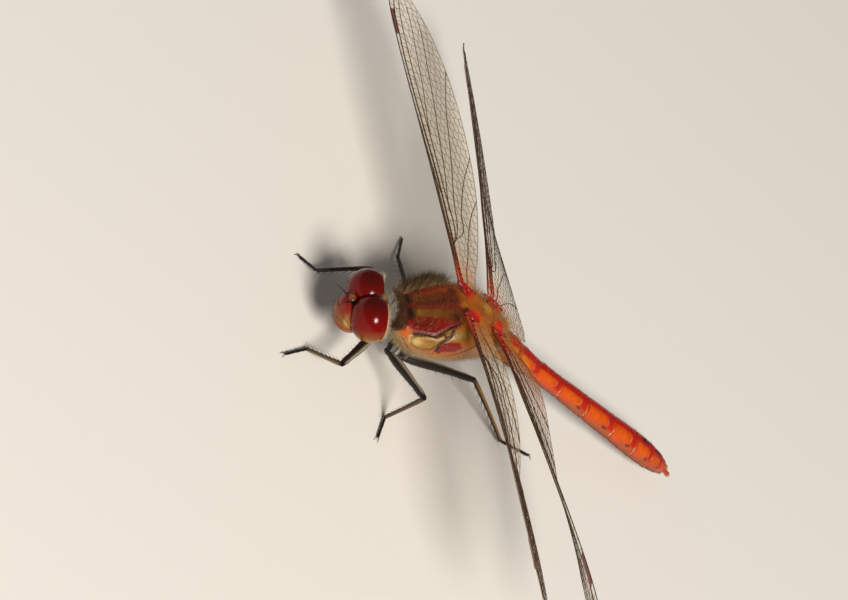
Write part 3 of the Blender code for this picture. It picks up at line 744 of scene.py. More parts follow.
def wing_surface(outline, hinge, sweep, lift, twist):
    """Function that puts a station, a share of the chord and a height onto the twisted wing."""
    sign = math.copysign(1.0, hinge[1])
    sweep, lift = math.radians(sweep), math.radians(lift)
    level_run = math.cos(lift)
    out = np.array((math.sin(sweep) * level_run, sign * math.cos(sweep) * level_run, math.sin(lift)))
    lead = unit(np.array((1.0, 0, 0)) - out * out[0])
    up = sign * np.cross(lead, out)
    span = outline[-1][0]
    root, middle, middle_share, tip = twist

    def place(station, share, height=0.0):
        station, share = np.asarray(station, float), np.asarray(share, float)
        front, rear = edges(outline, station)
        across = front + (rear - front) * share
        inner = np.minimum(station / (middle_share * span), 1.0)
        outer = np.clip((station / span - middle_share) / (1 - middle_share), 0.0, 1.0)
        pitch = np.radians(root + (middle - root) * inner + (tip - middle) * outer ** 1.6)
        back = (front - rear) * share
        pleat = 0.10 * np.cos(back * 2 * math.pi / 1.15) * np.exp(-back / 1.3) * step(0.0, 3.0, station)
        level = np.asarray(height + pleat - WING_DROOP * (station / span) ** 2)
        return (np.array(hinge) + out * station[..., None] + up * level[..., None]
                + (lead * np.cos(pitch)[..., None] + up * np.sin(pitch)[..., None]) * across[..., None])
    return place


def wing_grid(first, last, counts):
    """Grid of stations between two, and of shares from edge to edge."""
    return np.meshgrid(np.linspace(first, last, counts[0]), np.linspace(0, 1, counts[1]), indexing="ij")


def vein_share(vein, station):
    """Share of the chord where a vein lies at a station; beyond its ends it stays at its last share."""
    return curve(vein[1], 1, station)


def wing_seeds(outline):
    """Middles of the wing's cells, a jittered brick pattern that is finer towards the rear edge."""
    seeds, span = [], outline[-1][0]
    station, offset = 0.35, 0.75
    while station < span - 0.1:
        front, rear = edges(outline, station)
        count = max(int((front - rear) / CELL), 2)
        for share in (np.arange(count) + offset) / count:
            along = station + RNG.uniform(-0.10, 0.10)
            seeds.append((along, np.clip(share + RNG.uniform(-0.12, 0.12) / count, 0, 1)))
        station += CELL * (0.92 + 0.25 * math.sin(station / span * math.pi))
        offset = 1 - offset
    return np.array(seeds)


def corner_middles(triangles):
    """Centres of the circles through the corners of each triangle; the middle of a flat one."""
    facing = np.roll(triangles, -1, axis=1) - np.roll(triangles, 1, axis=1)
    squares = np.sum(triangles**2, axis=2)
    double = 2 * np.sum(triangles[..., 0] * facing[..., 1], axis=1)
    flat = np.abs(double) < 1e-9
    centres = stacked(np.sum(squares * facing[..., 1], axis=1), -np.sum(squares * facing[..., 0], axis=1))
    centres = centres / np.where(flat, 1.0, double)[:, None]
    return np.where(flat[:, None], triangles.mean(axis=1), centres)


def cell_edges(outline, veins):
    """Stations and shares of the cells' corners behind the radial vein, and the pairs that walls join."""
    span = outline[-1][0]
    radial = veins[1]
    station, share = wing_seeds(outline).T
    kept = share > vein_share(radial, station) + 0.02
    station, share = station[kept], share[kept]
    front, rear = edges(outline, station)
    seeds = stacked(station, front + (rear - front) * share)
    outer = np.linspace(-0.5, span + 0.5, 90)
    front, rear = edges(outline, outer)
    levels = stacked(rear - GHOST, front - (front - rear) * vein_share(radial, outer) + GHOST)
    ghosts = stacked(np.repeat(outer, 2), levels.ravel())
    cloud = [Vector(point) for point in np.concatenate((seeds, ghosts))]
    verts, _, triangles, *_ = geometry.delaunay_2d_cdt(cloud, [], [], 0, 1e-5)
    sides = {}
    for number, triangle in enumerate(triangles):
        for i, j in ((0, 1), (1, 2), (2, 0)):
            sides.setdefault(tuple(sorted((triangle[i], triangle[j]))), []).append(number)
    station, level = corner_middles(np.array([vert[:] for vert in verts])[np.array(triangles)]).T
    station = np.clip(station, 0, span)
    front, rear = edges(outline, station)
    share, on_vein = snapped(veins, station, (front - level) / (front - rear), front - rear)
    pairs = np.array([numbers for numbers in sides.values() if len(numbers) == 2])
    i, j = pairs.T
    on_wing = (station > 0.2) & (station < span - 0.05)
    apart = (on_vein[i] != on_vein[j]) | (on_vein[i] < 0)
    return station, share, pairs[apart & on_wing[i] & on_wing[j] & (np.abs(station[i] - station[j]) <= 1.5)]


def snapped(veins, station, share, chord):
    """Cell corners close to a main vein or to the rear edge, moved onto it, and the number of that vein."""
    on_vein = np.full(len(share), -1)
    for number, vein in enumerate(veins):
        line = vein_share(vein, station)
        there = (station >= vein[1][0][0]) & (station <= vein[1][-1][0])
        close = there & (np.abs(share - line) * chord < SNAP) & (on_vein < 0)
        share = np.where(close, line, share)
        on_vein = np.where(close, number, on_vein)
    close = (share * chord > chord - SNAP) & (on_vein < 0)
    return np.where(close, 1.0, np.clip(share, 0, 1)), np.where(close, len(veins), on_vein)


def make_wing(pair, side, hinge, sweep, lift, twist):
    """Clear membrane, its veins, and the dark spot near the tip."""
    name = f"{pair}wing_{side}"
    outline, veins, nodus, spot, reach = WING_PAIRS[pair]
    place = wing_surface(outline, hinge, sweep, lift, twist)
    station, share = wing_grid(0, outline[-1][0], WING_GRID)
    points, faces = slab(place(station, share, MEMBRANE / 2), place(station, share, -MEMBRANE / 2))
    amber = step(reach * 1.5, 0.0, station + 1.2 * share) ** 2
    tint = layered(share, MEMBRANE_CLEAR, (amber, MEMBRANE_AMBER)).reshape(-1, 3)
    sheet = (points, faces, np.concatenate((tint, tint)))
    add_piece(f"{name}_membrane", [sheet], BODY, "membrane", [name])
    make_veins(name, place, outline, veins, nodus, spot)
    make_spot(name, place, veins, spot)


def make_veins(name, place, outline, veins, nodus, spot):
    """Edge veins, main veins, the ladders between the foremost ones, and the walls of all the cells."""
    span = outline[-1][0]
    steps, tip = np.linspace(0.0, span, 110), np.linspace(0, 1, 12)
    lines = [(steps, 0, 0.075 - 0.035 * steps / span), (steps, 1, 0.022), (span, tip, 0.03)]
    for radius, bends in veins:
        steps = np.linspace(bends[0][0], bends[-1][0], 60)
        lines.append((steps, curve(bends, 1, steps), radius * (1.55 - 0.8 * steps / span)))
    rungs = []
    for line in lines:
        station, share, radius = np.broadcast_arrays(*line)
        path = place(station, share)
        rungs.append((path[:-1], path[1:], (radius[1:] + radius[:-1]) / 2))
    s0, c0, s1, c1 = ladder_steps(veins, nodus, spot, span).T
    rungs.append((place(s0, c0), place(s1, c1), np.full(len(s0), LADDER_RADIUS)))
    station, share, pairs = cell_edges(outline, veins)
    corners = place(station, share)
    rungs.append((corners[pairs[:, 0]], corners[pairs[:, 1]], np.full(len(pairs), WALL_RADIUS)))
    starts, ends, radii = (np.concatenate([rung[i] for rung in rungs]) for i in range(3))
    bar = bars(starts, ends, radii)
    away = np.linalg.norm(bar[0] - place(0.0, 0.3), axis=1)
    thick = np.repeat(radii > 0.03, 6)
    part = painted(bar, VEIN_BROWN, (step(9.0, 2.0, away) * thick, VEIN_MAROON),
                   (step(2.9, 1.2, away), VEIN_RED))
    add_piece(f"{name}_veins", [part], BODY, "vein")


def ladder_steps(veins, nodus, spot, span):
    """Cross-veins of the leading edge: before the nodus over two strips, after it to the wing spot and on."""
    under, radial, behind = veins[:3]
    steps = []

    def rung(upper, lower, station, lean):
        first = vein_share(upper, station) if upper else 0.0
        steps.append((station, first, station + lean, vein_share(lower, station + lean)))

    for s in np.arange(1.6, nodus - 0.3, (nodus - 1.6) / 8):
        rung(None, under, s, 0.0)
        rung(under, radial, s, 0.1)
    for s in np.arange(nodus, span - 1.2, 0.95):
        if not spot[0] - 0.2 < s < spot[1] + 0.2:
            rung(None, radial, s, 0.12)
    for s in np.arange(behind[1][0][0] + 0.5, span - 2.0, 0.85):
        rung(radial, behind, s, 0.1)
    return np.array(steps, float)


def make_spot(name, place, veins, spot):
    """Thick dark-red cell at the leading edge near the tip."""
    station, across = wing_grid(*spot, SPOT_GRID)
    share = across * vein_share(veins[1], station)
    station = station + 0.25 * (across - 0.5)
    height = 0.012 + 0.06 * (1 - (2 * across - 1) ** 4)
    points, faces = slab(place(station, share, height), place(station, share, -height))
    inner = step(0.0, 0.2, across) * step(1.0, 0.8, across)
    colours = layered(across, SPOT_EDGE, (inner, SPOT_RED)).reshape(-1, 3)
    add_piece(f"{name}_spot", [(points, faces, np.concatenate((colours, colours)))], BODY, "horn")


# ---------------------------------------------------------------- head

EYE_CENTRE = (-0.50, 1.32, 0.25)
EYE_RADII = (1.66, 1.84, 1.90)
EYE_BACK = -1.40
EYE_CUT = math.sqrt(1 - ((EYE_BACK - EYE_CENTRE[0]) / EYE_RADII[0]) ** 2)
FACE_CENTRE = (0.72, 0.0, -0.80)
FACE_RADII = (1.28, 1.62, 1.50)
SKULL_CENTRE = (-0.95, 0.0, -0.15)
SKULL_RADII = (0.95, 2.35, 1.75)
# (lowest and highest rise in degrees, swell, colour) of the face's plates, from the forehead to the jaws.
FACE_PLATES = (
    (28, 85, 0.10, (0.20, 0.010, 0.003)),
    (4, 28, 0.05, (0.22, 0.050, 0.008)),
    (-16, 4, 0.01, (0.26, 0.075, 0.012)),
    (-52, -16, 0.06, (0.26, 0.055, 0.009)),
    (-85, -52, 0.0, (0.22, 0.08, 0.02)),
)


def make_eyes():
    """Two domes that meet along the top of the head and end in a flat, rimmed rear margin."""
    for side, sign in SIDES:
        points, faces = sphere(EYE_CENTRE, EYE_RADII, 110, 160)
        points = np.maximum(points, (EYE_BACK, 0.02, -np.inf))
        colours = eye_colours(*((points - np.array(EYE_CENTRE)) / np.array(EYE_RADII)).T)
        faces = [group[:, ::int(sign)] for group in faces]
        dome = (points * (1, sign, 1), faces, colours)
        piece = add_piece(f"facets_{side}", [dome], HEAD, "eye", [f"eye_{side}"])
        piece.data.set_sharp_from_angle(angle=math.radians(30))
        path = eye_margin(np.radians(np.linspace(100, -80, 60)), 1.0, 0.01)
        path[:, 1] = np.maximum(path[:, 1], 0.06) * sign
        bead = painted(tube(path, np.full(60, 0.055), 8, wide=(1, 0, 0)), (0.40, 0.21, 0.08))
        add_piece(f"eye_rim_{side}", [bead], HEAD, "horn")


def eye_colours(front, lateral, height):
    """Dark red above, with a blacker heart, turning to amber and olive low on the outer side."""
    heart = bump(np.hypot(front - 0.05, np.hypot(lateral + 0.05, height - 0.85)), 0.80)
    low = 0.80 * lateral - 0.75 * height + 0.05 * front
    return layered(front, (0.150, 0.0018, 0.0008),
                   (0.85 * heart, (0.030, 0.003, 0.002)),
                   (step(0.52, 0.80, low), (0.17, 0.030, 0.003)),
                   (step(0.80, 1.05, low), (0.22, 0.095, 0.012)),
                   (step(-0.25, -0.55, height) * step(0.5, 0.0, lateral), (0.18, 0.09, 0.02)))


def eye_margin(angles, reach, behind):
    """Points on the left eye's flat rear, at a share of the way out to its edge."""
    _, y, z = EYE_CENTRE
    _, ry, rz = EYE_RADII
    return stacked(EYE_BACK - behind, y + ry * EYE_CUT * reach * np.cos(angles),
                   z + rz * EYE_CUT * reach * np.sin(angles))


def make_face():
    """Forehead, two-part nose plate, lip and jaws, as swollen plates parted by grooves."""
    points, faces = sphere(FACE_CENTRE, FACE_RADII, 120, 180)
    local = (points - np.array(FACE_CENTRE)) / np.array(FACE_RADII)
    rise = np.degrees(np.arctan2(local[:, 2], np.maximum(local[:, 0], 1e-3)))
    lateral = np.abs(local[:, 1])
    swell, layers = -0.07 * bump(local[:, 1], 0.10) * step(40, 60, rise), []
    for low, high, bulge, colour in FACE_PLATES:
        t = np.clip((rise - low) / (high - low), 0, 1)
        swell += bulge * 4 * t * (1 - t) - 0.05 * bump(rise - low, 2.6)
        layers += [(band(low, high, 1.5, rise), colour), (0.55 * bump(rise - low, 1.6), (0.12, 0.03, 0.01))]
    streaks = 0.5 + 0.5 * np.sin(22 * lateral + 0.12 * rise)
    plates = painted((points + local * swell[:, None] * 1.2, faces), AMBER, *layers,
                     (step(0.45, 0.80, lateral) * band(-10, 60, 12, rise), (0.21, 0.088, 0.010)),
                     (0.35 * streaks * step(0.60, 0.85, lateral) * band(0, 50, 10, rise), CREAM),
                     (step(66, 78, rise) * step(0.8, 0.5, lateral), DARK))
    add_piece("face_plates", [plates], HEAD, "horn", ["face"])


def make_skull():
    """Back of the head, the bump between the eyes with its three simple eyes, and the neck."""
    back = sphere(SKULL_CENTRE, SKULL_RADII, 60, 80)
    x, y, z = ((back[0] - np.array(SKULL_CENTRE)) / np.array(SKULL_RADII)).T
    spots = bump(np.abs(np.hypot(y, z) - 0.80), 0.10) * step(0.0, 0.6, np.sin(9 * np.arctan2(z, np.abs(y))))
    knob = sphere((1.06, 0, 0.96), (0.32, 0.40, 0.27), 30, 40)
    out = np.abs(knob[0][:, 1])
    top = step(1.12, 1.20, knob[0][:, 2]) * step(0.24, 0.14, out)
    neck = tube(((-0.9, 0, -0.3), (-1.6, 0, -0.5), (-2.3, 0, -0.6)), (0.5, 0.42, 0.5), 24)
    parts = [painted(back, (0.045, 0.022, 0.012), (spots * step(0.1, -0.3, x), (0.55, 0.38, 0.12))),
             painted(knob, (0.16, 0.018, 0.006), (0.5 * top, YELLOW), (step(0.24, 0.36, out), DARK)),
             painted(sphere((-1.28, 0, 1.28), (0.32, 0.38, 0.22), 20, 30), YELLOW),
             painted(neck, (0.10, 0.05, 0.03))]
    add_piece("skull", parts, HEAD, "horn", ["head"])
    beads = (((1.33, 0, 1.06), 0.11), ((0.98, 0.34, 1.22), 0.10), ((0.98, -0.34, 1.22), 0.10))
    parts = [painted(sphere(place, (radius,) * 3, 14, 20), (0.10, 0.03, 0.012)) for place, radius in beads]
    add_piece("simple_eyes", parts, HEAD, "eye")


def make_feelers():
    """Bristle-like feelers on two stout joints."""
    t = np.linspace(0, 1, 30)
    radii = np.where(t < 0.10, 0.10, np.where(t < 0.22, 0.075, 0.045 * (1.05 - t) + 0.008))
    for side, sign in SIDES:
        path = stacked(1.45 + 0.95 * t, sign * (0.36 + 0.80 * t), 0.90 + 0.55 * t - 0.22 * t**2)
        feeler = painted(tube(path, radii), DARK)
        add_piece(f"feeler_{side}", [feeler], HEAD, "horn", [f"antenna_{side}"])


# ---------------------------------------------------------------- legs

# Thigh and shin lengths, and the left hip of each pair.
LEG_PAIRS = {
    "fore": (4.6, 4.2, (3.9, 1.00, -6.90)),
    "middle": (5.4, 5.4, (1.9, 1.35, -6.95)),
    "hind": (7.25, 6.95, (0.5, 1.35, -6.75)),
}
# Pair, side, heel and toe over the floor from below the wing root, and the way the knee points.
LEGS = (
    ("fore", "left", (8.95, 2.73, 0.40), (11.21, 3.96), (0.25, 0.85, 0.45)),
    ("middle", "left", (1.06, 5.96, 0.32), (1.89, 8.12), (-0.05, 0.55, 0.83)),
    ("hind", "left", (-11.00, 3.71, 0.55), (-14.45, 3.67), (-0.1, -0.45, 1.0)),
    ("fore", "right", (7.86, -4.66, 0.90), (8.97, -5.98), (-0.6, -0.8, 0.5)),
    ("middle", "right", (-1.00, -9.30, 0.90), (-2.30, -11.97), (-0.85, 0.2, 0.5)),
    ("hind", "right", (-10.60, -4.40, 0.55), (-13.90, -4.70), (0.0, -0.2, 1.0)),
)
LEG_BLACK = (0.010, 0.007, 0.006)
LEG_BROWN = (0.30, 0.14, 0.03)
LEG_STRIPE = (0.36, 0.29, 0.20)
CLAW = (0.05, 0.02, 0.01)
SPINE = (0.015, 0.010, 0.008)
COXA_LENGTH = 0.9
FOOT_HEIGHT = 0.17


def leg_joints(pair, side, heel, toe, bend):
    """Socket, hip, knee, heel and toe over the floor, as in the solids."""
    femur, tibia, (x, y, z) = LEG_PAIRS[pair]
    sign = dict(SIDES)[side]
    turn, root = BODY.to_3x3(), Vector(WING_ROOT)
    hip = root + turn @ Vector((x, sign * y, z))
    socket = root + turn @ Vector((x - 0.15, sign * (y - 0.45), z + COXA_LENGTH))
    below = Vector((WING_ROOT[0], WING_ROOT[1], 0))
    heel, toe = below + Vector(heel), below + Vector((*toe, FOOT_HEIGHT))
    line = heel - hip
    reach = min(line.length, 0.998 * (femur + tibia))
    run = line.normalized()
    along = (reach * reach + femur * femur - tibia * tibia) / (2 * reach)
    aside = math.sqrt(max(femur * femur - along * along, 0.0))
    outward = Vector(bend)
    outward = (outward - run * outward.dot(run)).normalized()
    knee = hip + run * along + outward * aside
    return [np.array(point) for point in (socket, hip, knee, heel, toe)]


def limb(start, end, radii, wide, stripe, sag=0.0, rows=28, brown=0.0):
    """One black limb length, bowed by sag, with a pale stripe and a brown band along its upper side."""
    sides, t = 20, np.linspace(0, 1, rows)
    radius = np.interp(t, np.linspace(0, 1, len(radii)), radii)
    path = start + (end - start) * t[:, None] + np.array(wide) * sag * (4 * t * (1 - t))[:, None]
    around = np.append(np.tile(np.arange(sides) / sides, rows), [0, 0])
    along = np.append(np.repeat(t, sides), [0, 1])
    turn = (around - 0.25 + 0.5) % 1 - 0.5
    lit = (bump(turn, 0.05) + bump(turn - 0.16, 0.03)) * band(0.06, 0.94, 0.05, along)
    brown = brown * step(0.30, 0.20, np.abs(turn)) * band(0.04, 0.97, 0.03, along)
    return painted(tube(path, radius, sides, wide), LEG_BLACK, (brown, LEG_BROWN), (stripe * lit, LEG_STRIPE))


def make_leg(pair, side, heel, toe, bend):
    """Black leg with pale stripes: hip, thigh, shin, three foot joints, two hooked claws, spines."""
    socket, hip, knee, heel, toe = leg_joints(pair, side, heel, toe, bend)
    plane = unit(np.cross(knee - hip, heel - knee))
    up = unit(np.cross(plane, heel - hip))
    up = -up if up[2] < 0 else up
    thigh, shin, run = unit(knee - hip), unit(heel - knee), unit(toe - heel)
    parts = [limb(socket, hip + thigh * 0.15, (0.42, 0.46, 0.34), up, 0.3, rows=12),
             limb(hip - thigh * 0.18, hip + thigh * 0.35, (0.24, 0.31, 0.24), up, 0.0, rows=10),
             limb(hip + thigh * 0.2, knee, (0.24, 0.37, 0.39, 0.36, 0.33, 0.28, 0.30, 0.22), up, 0.9, 0.10),
             limb(knee - shin * 0.05, heel, (0.17, 0.21, 0.185, 0.17, 0.165, 0.16, 0.16, 0.15), up, 0.6, 0.06,
                  brown=0.9 if pair == "hind" else 0.25)]
    ends = [heel + (toe - heel) * share for share in (0, 0.22, 0.50, 0.93)]
    for a, b in zip(ends, ends[1:]):
        parts.append(limb(a, b, (0.085, 0.115, 0.11, 0.125, 0.10), up, 0.0, rows=10))
    flat = unit(np.cross(run, (0, 0, 1.0)))
    t = np.linspace(0, 1, 12)[:, None]
    for turn in (-1, 1):
        path = ends[-1] + run * 0.42 * t + flat * turn * 0.20 * t
        path[:, 2:] = np.maximum(path[:, 2:] + 0.10 * np.sin(math.pi * t) - 0.13 * t**2, 0.03)
        parts.append(painted(tube(path, np.linspace(0.055, 0.012, 12), 8), CLAW))
    parts += leg_spines(hip, knee, heel, ends[-1], up, plane)
    for points, _, _ in parts:
        points[:, 2] = np.maximum(points[:, 2], 0.0)
    nodes = [f"{pair}_{title}_{side}" for title in ("coxa", "femur", "tibia", "tarsus")]
    add_piece(f"{pair}_leg_{side}", parts, WORLD, "leg", nodes)


def leg_spines(hip, knee, heel, foot, up, plane):
    """Two rows of spines under the thigh and down the shin, and short bristles on the foot."""
    parts, u = [], np.linspace(0, 1, 4)[:, None]
    rows = ((hip, knee, 9, 0.22, 0.40, 0.30), (knee, heel, 8, 0.62, 0.80, 0.18),
            (heel, foot, 5, 0.18, 0.20, 0.10))
    for start, end, count, short, long, clear in rows:
        run = unit(end - start)
        for turn in (-1, 1):
            way = unit(run * 0.75 - up * 0.55 + plane * turn * 0.65)
            for t in (np.arange(count) + 0.5 + 0.25 * turn) / count:
                root = start + (end - start) * t + (plane * turn - up) * clear * 0.5
                length = short + (long - short) * math.sin(math.pi * t)
                path = root + way * length * u + run * 0.10 * length * u**2
                parts.append(painted(tube(path, np.linspace(0.026, 0.006, 4), 5), SPINE))
    return parts


# ---------------------------------------------------------------- claspers and hinge plates

def make_claspers():
    """Pair of small curved horns at the tail tip, pale at their ends, and the lower plate between."""
    root = np.array(ABDOMEN_START) + (0.12 - ABDOMEN_LENGTH, 0, 0.08 - ABDOMEN_DROOP * ABDOMEN_LENGTH)
    t = np.linspace(0, 1, 20)
    for side, sign in SIDES:
        path = root + stacked(-1.17 * t, sign * (0.25 + 0.12 * np.sin(math.pi * t)), -0.24 * t**2)
        horn = tube(path, np.interp(t, (0, 0.3, 0.65, 0.85, 1), (0.20, 0.18, 0.22, 0.15, 0.03)), 14)
        pale = step(root[0] - 0.5, root[0] - 0.9, horn[0][:, 0])
        part = painted(horn, (0.30, 0.05, 0.015), (pale, (0.50, 0.26, 0.13)))
        add_piece(f"clasper_{side}", [part], BODY, "horn", [f"cercus_{side}"])
    t = np.linspace(0, 1, 12)
    path = root + stacked(-0.60 * t, 0, -0.30 - 0.05 * t)
    plate = tube(path, np.interp(t, (0, 0.6, 1), (0.22, 0.17, 0.05)), 14)
    add_piece("tail_plate", [painted(plate, (0.45, 0.10, 0.03))], BODY, "horn")


# (place along, outwards and up from a wing's hinge, length, width, height, yaw) of its plates.
HINGE_PLATES = (
    (0.70, -0.10, 0.02, 0.55, 0.20, 0.15, 20), (0.25, 0.05, 0.06, 0.42, 0.30, 0.15, -15),
    (-0.30, -0.05, 0.06, 0.46, 0.26, 0.14, 10), (-0.95, -0.25, 0.02, 0.40, 0.22, 0.12, -20),
    (0.45, -0.50, 0.00, 0.38, 0.26, 0.14, 35),
)


def make_hinges():
    """Glossy red plates at each wing's base: a long one for the leading edge and flatter ones behind it."""
    parts = []
    for _, _, hinge, *_ in WINGS:
        side = math.copysign(1.0, hinge[1])
        for along, out, up, length, width, height, yaw in HINGE_PLATES:
            points, faces = sphere((0, 0, 0), (length, width, height), 18, 28)
            points = points * (1 + 0.10 * np.sin(6.0 * points[:, :1] + 9.0 * points[:, 1:2]))
            rim = step(0.75, 0.95, np.hypot(points[:, 0] / length, points[:, 1] / width))
            c, s = math.cos(math.radians(yaw * side)), math.sin(math.radians(yaw * side))
            points = points @ np.array(((c, s, 0), (-s, c, 0), (0, 0, 1))) + hinge + (along, side * out, up)
            parts.append(painted((points, faces), (0.36, 0.006, 0.004), (0.8 * rim, (0.09, 0.006, 0.004))))
    add_piece("wing_hinges", parts, BODY, "horn")


# ---------------------------------------------------------------- hair

FRINGE_HAIRS = 900
FACE_HAIRS = 420


def make_head_hair():
    """Pale fringe round the back of the head and short dark hair on the forehead and lip."""
    count = FRINGE_HAIRS
    side = np.where(RNG.random(count) < 0.5, -1.0, 1.0)
    angle = np.radians(RNG.uniform(-75, 78, count))
    reach = RNG.uniform(0.72, 0.99, count)
    roots = eye_margin(angle, reach, 0.02)
    roots[:, 1] *= side
    direction = stacked(-0.8, side * 0.6 * np.cos(angle), 0.6 * np.sin(angle))
    direction = direction + RNG.normal(0, 0.25, (count, 3))
    colours = layered(angle, (0.62, 0.56, 0.46), (step(-0.2, -0.7, np.sin(angle)), (0.50, 0.26, 0.07)))
    colours = colours * RNG.uniform(0.7, 1.2, (count, 1))
    bake = stacked(0.03 + 0.1 * reach, 0.5 + side * angle / 7)
    droop, lengths = RNG.normal(0, 0.1, (count, 3)), RNG.uniform(0.22, 0.50, count)
    fringe = hairs(roots, direction, droop, lengths, 0.009, colours, bake)
    count = FACE_HAIRS
    rise, turn = np.radians(RNG.uniform(-45, 75, count)), RNG.uniform(-0.85, 0.85, count)
    level = np.sqrt(1 - turn**2)
    normal = stacked(level * np.cos(rise), turn, level * np.sin(rise))
    bake = stacked(0.2 + 0.05 * turn, 0.5 + rise / 7)
    direction, lengths = normal + RNG.normal(0, 0.25, (count, 3)), RNG.uniform(0.10, 0.26, count)
    face = hairs(np.array(FACE_CENTRE) + normal * np.array(FACE_RADII), direction, normal * 0 + (0, 0, -0.15),
                 lengths, 0.006, layered(rise, (0.035, 0.018, 0.010)), bake)
    for name, (part, places) in (("hair_fringe", fringe), ("hair_face", face)):
        add_piece(name, [part], HEAD, "hair", bake=places)


GOLD = (0.50, 0.28, 0.08)
# Name, count, stretch along the body, girths, lengths, lean, colour and its share over the skin's own
# markings, radius, disorder, shade of the tips, and share of the hairs on the left.
COATS = (
    ("front", 1300, (0.4, 3.5), (0.0, 0.20), (0.30, 0.75), (0.15, 0, 0.15), GOLD, 0.5, 0.006, 0.3, 0.7, 0.5),
    ("mane", 2100, (0.9, 3.6), (0.20, 0.42), (0.5, 1.10), (-0.1, 0, 0.5), (0.10, 0.045, 0.015), 0.8,
     0.009, 0.3, 0.5, 0.05),
    ("mane_pale", 750, (0.9, 3.7), (0.18, 0.42), (0.5, 1.15), (-0.1, 0, 0.5), (0.55, 0.38, 0.18), 0.85,
     0.008, 0.3, 1.2, 0.08),
    ("back", 1900, (-5.2, -0.4), (0.0, 0.34), (0.30, 0.65), (-0.25, 0, 0.2), GOLD, 0.55,
     0.006, 0.25, 1.2, 0.5),
    ("flank", 2600, (-4.8, 3.5), (0.55, 0.80), (0.14, 0.34), (-0.6, 0, -0.3), (0.50, 0.34, 0.15), 0.6,
     0.006, 0.25, 1.2, 0.5),
    ("belly", 4200, (-4.8, 3.6), (0.78, 1.0), (0.30, 0.60), (-0.2, 0, -0.3), (0.50, 0.40, 0.22), 0.8,
     0.009, 0.25, 1.2, 0.5),
    ("neck", 2300, (3.85, 4.75), (0.0, 0.66), (0.28, 0.58), (0.4, 0, 0.5), (0.24, 0.12, 0.05), 0.75,
     0.008, 0.35, 0.9, 0.5),
    ("collar", 800, (4.60, 5.00), (0.0, 0.62), (0.40, 0.80), (0.3, 0, 0.5), (0.62, 0.55, 0.44), 0.95,
     0.012, 0.25, 1.2, 0.5),
    ("tail", 1500, (-7.6, -5.2), (0.0, 0.75), (0.12, 0.30), (-0.5, 0, 0.1), (0.55, 0.28, 0.08), 0.6,
     0.007, 0.25, 1.2, 0.5),
)


def make_coat(name, count, stretch, girths, length, lean, colour, share, radius, disorder, tip_shade, left):
    """Hairs over a stretch of the skin."""
    x = RNG.uniform(*stretch, count)
    girth = RNG.uniform(*girths, count)
    sign = np.where(RNG.random(count) < left, 1.0, -1.0)
    roots, normal = body_points(x, girth, sign)
    colours = body_colours(x, girth, sign) * (1 - share) + np.array(colour) * share
    colours = colours * RNG.uniform(0.7, 1.25, (count, 1))
    direction = unit(normal + np.array(lean) + RNG.normal(0, disorder, (count, 3)))
    droop = np.array(lean) * 0.25 + RNG.normal(0, 0.10, (count, 3))
    lengths = RNG.uniform(*length, count)
    part, places = hairs(roots - normal * 0.03, direction, droop, lengths, radius, colours,
                         bake_place(x, girth, sign), tip_shade)
    add_piece(f"hair_{name}", [part], BODY, "hair", bake=places)


# ---------------------------------------------------------------- room, light and camera

FLOOR = 1.5                      # half width, in metres
FLOOR_COLOUR = (0.74, 0.70, 0.64, 1)
ROOM_COLOUR = (0.90, 0.94, 1.0, 1)
ROOM_STRENGTH = 0.13
# Name, place across and up the view and towards the camera, width, power, colour, and whether it leaves
# highlights.
LIGHTS = (
    ("key", 305, -192, 795, 270, 10.6, (1.0, 0.96, 0.90), True),
    ("fill", -320, 240, 240, 700, 0.62, (0.92, 0.95, 1.0), False),
)


def make_floor():
    mesh = bpy.data.meshes.new("floor")
    corners = [(-FLOOR, -FLOOR, 0), (FLOOR, -FLOOR, 0), (FLOOR, FLOOR, 0), (-FLOOR, FLOOR, 0)]
    mesh.from_pydata(corners, [], [(0, 1, 2, 3)])
    floor = linked("floor", mesh)
    finish = Finish("floor", 0.8)
    finish.wire(finish.shader, {"Base Color": FLOOR_COLOUR})
    mesh.materials.append(finish.material)


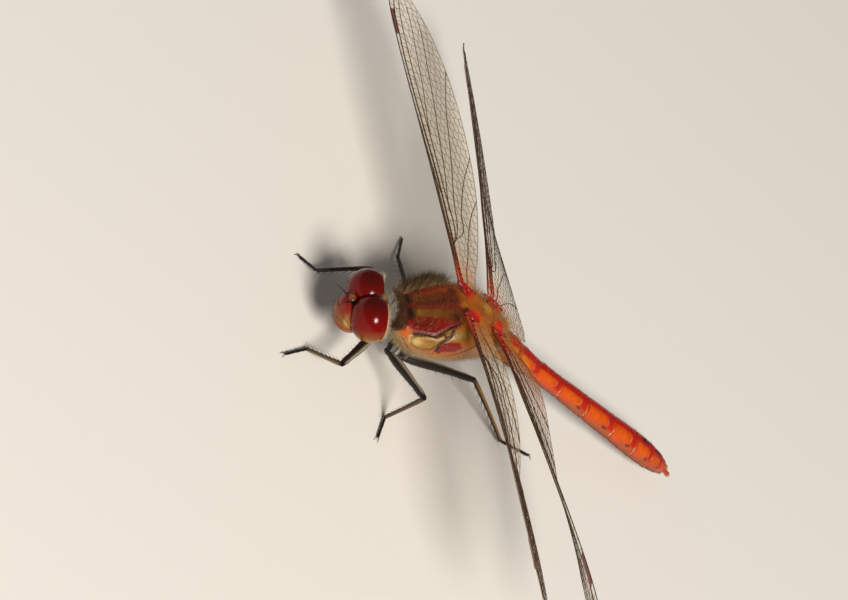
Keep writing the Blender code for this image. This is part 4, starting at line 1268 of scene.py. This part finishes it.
def view_axes():
    """Right, up and backward directions of the camera."""
    azimuth, elevation, roll = (math.radians(a) for a in (CAMERA_AZIMUTH, CAMERA_ELEVATION, CAMERA_ROLL))
    back = Vector((math.cos(azimuth) * math.cos(elevation), math.sin(azimuth) * math.cos(elevation),
                   math.sin(elevation)))
    level = Vector((-math.sin(azimuth), math.cos(azimuth), 0))
    right = level * math.cos(roll) + back.cross(level) * math.sin(roll)
    return right, back.cross(right), back


def make_camera():
    right, up, back = view_axes()
    target = Vector(WING_ROOT) + right * CAMERA_SHIFT[0] + up * CAMERA_SHIFT[1]
    data = bpy.data.cameras.new("camera")
    data.sensor_width = 36.0
    data.lens = data.sensor_width * CAMERA_DISTANCE / FIELD_WIDTH
    data.clip_end = 10.0
    camera = linked("camera", data)
    turn = Matrix((right, up, back)).transposed().to_4x4()
    camera.matrix_world = Matrix.Translation((target + back * CAMERA_DISTANCE) * MM) @ turn
    bpy.context.scene.camera = camera


def add_light(name, across, up_view, towards, size, power, colour, shines):
    """Area light placed on the camera's axes and aimed at the animal."""
    right, up, back = view_axes()
    data = bpy.data.lights.new(name, "AREA")
    data.shape = "DISK"
    data.size = size * MM
    data.energy = power
    data.color = colour
    light = linked(name, data)
    light.visible_glossy = shines
    away = (right * across + up * up_view + back * towards) * MM
    turn = away.to_track_quat("Z", "Y").to_matrix().to_4x4()
    light.matrix_world = Matrix.Translation(Vector(WING_ROOT) * MM + away) @ turn


def make_lights():
    for light in LIGHTS:
        add_light(*light)
    world = bpy.data.worlds.new("room")
    world.use_nodes = True
    background = world.node_tree.nodes["Background"]
    background.inputs["Color"].default_value = ROOM_COLOUR
    background.inputs["Strength"].default_value = ROOM_STRENGTH
    bpy.context.scene.world = world
    bpy.context.scene.view_settings.view_transform = "Standard"


def main():
    make_skin()
    for wing in WINGS:
        make_wing(*wing)
    make_eyes()
    make_face()
    make_skull()
    make_feelers()
    for leg in LEGS:
        make_leg(*leg)
    make_claspers()
    make_hinges()
    make_head_hair()
    for coat in COATS:
        make_coat(*coat)
    make_floor()
    make_camera()
    make_lights()


main()
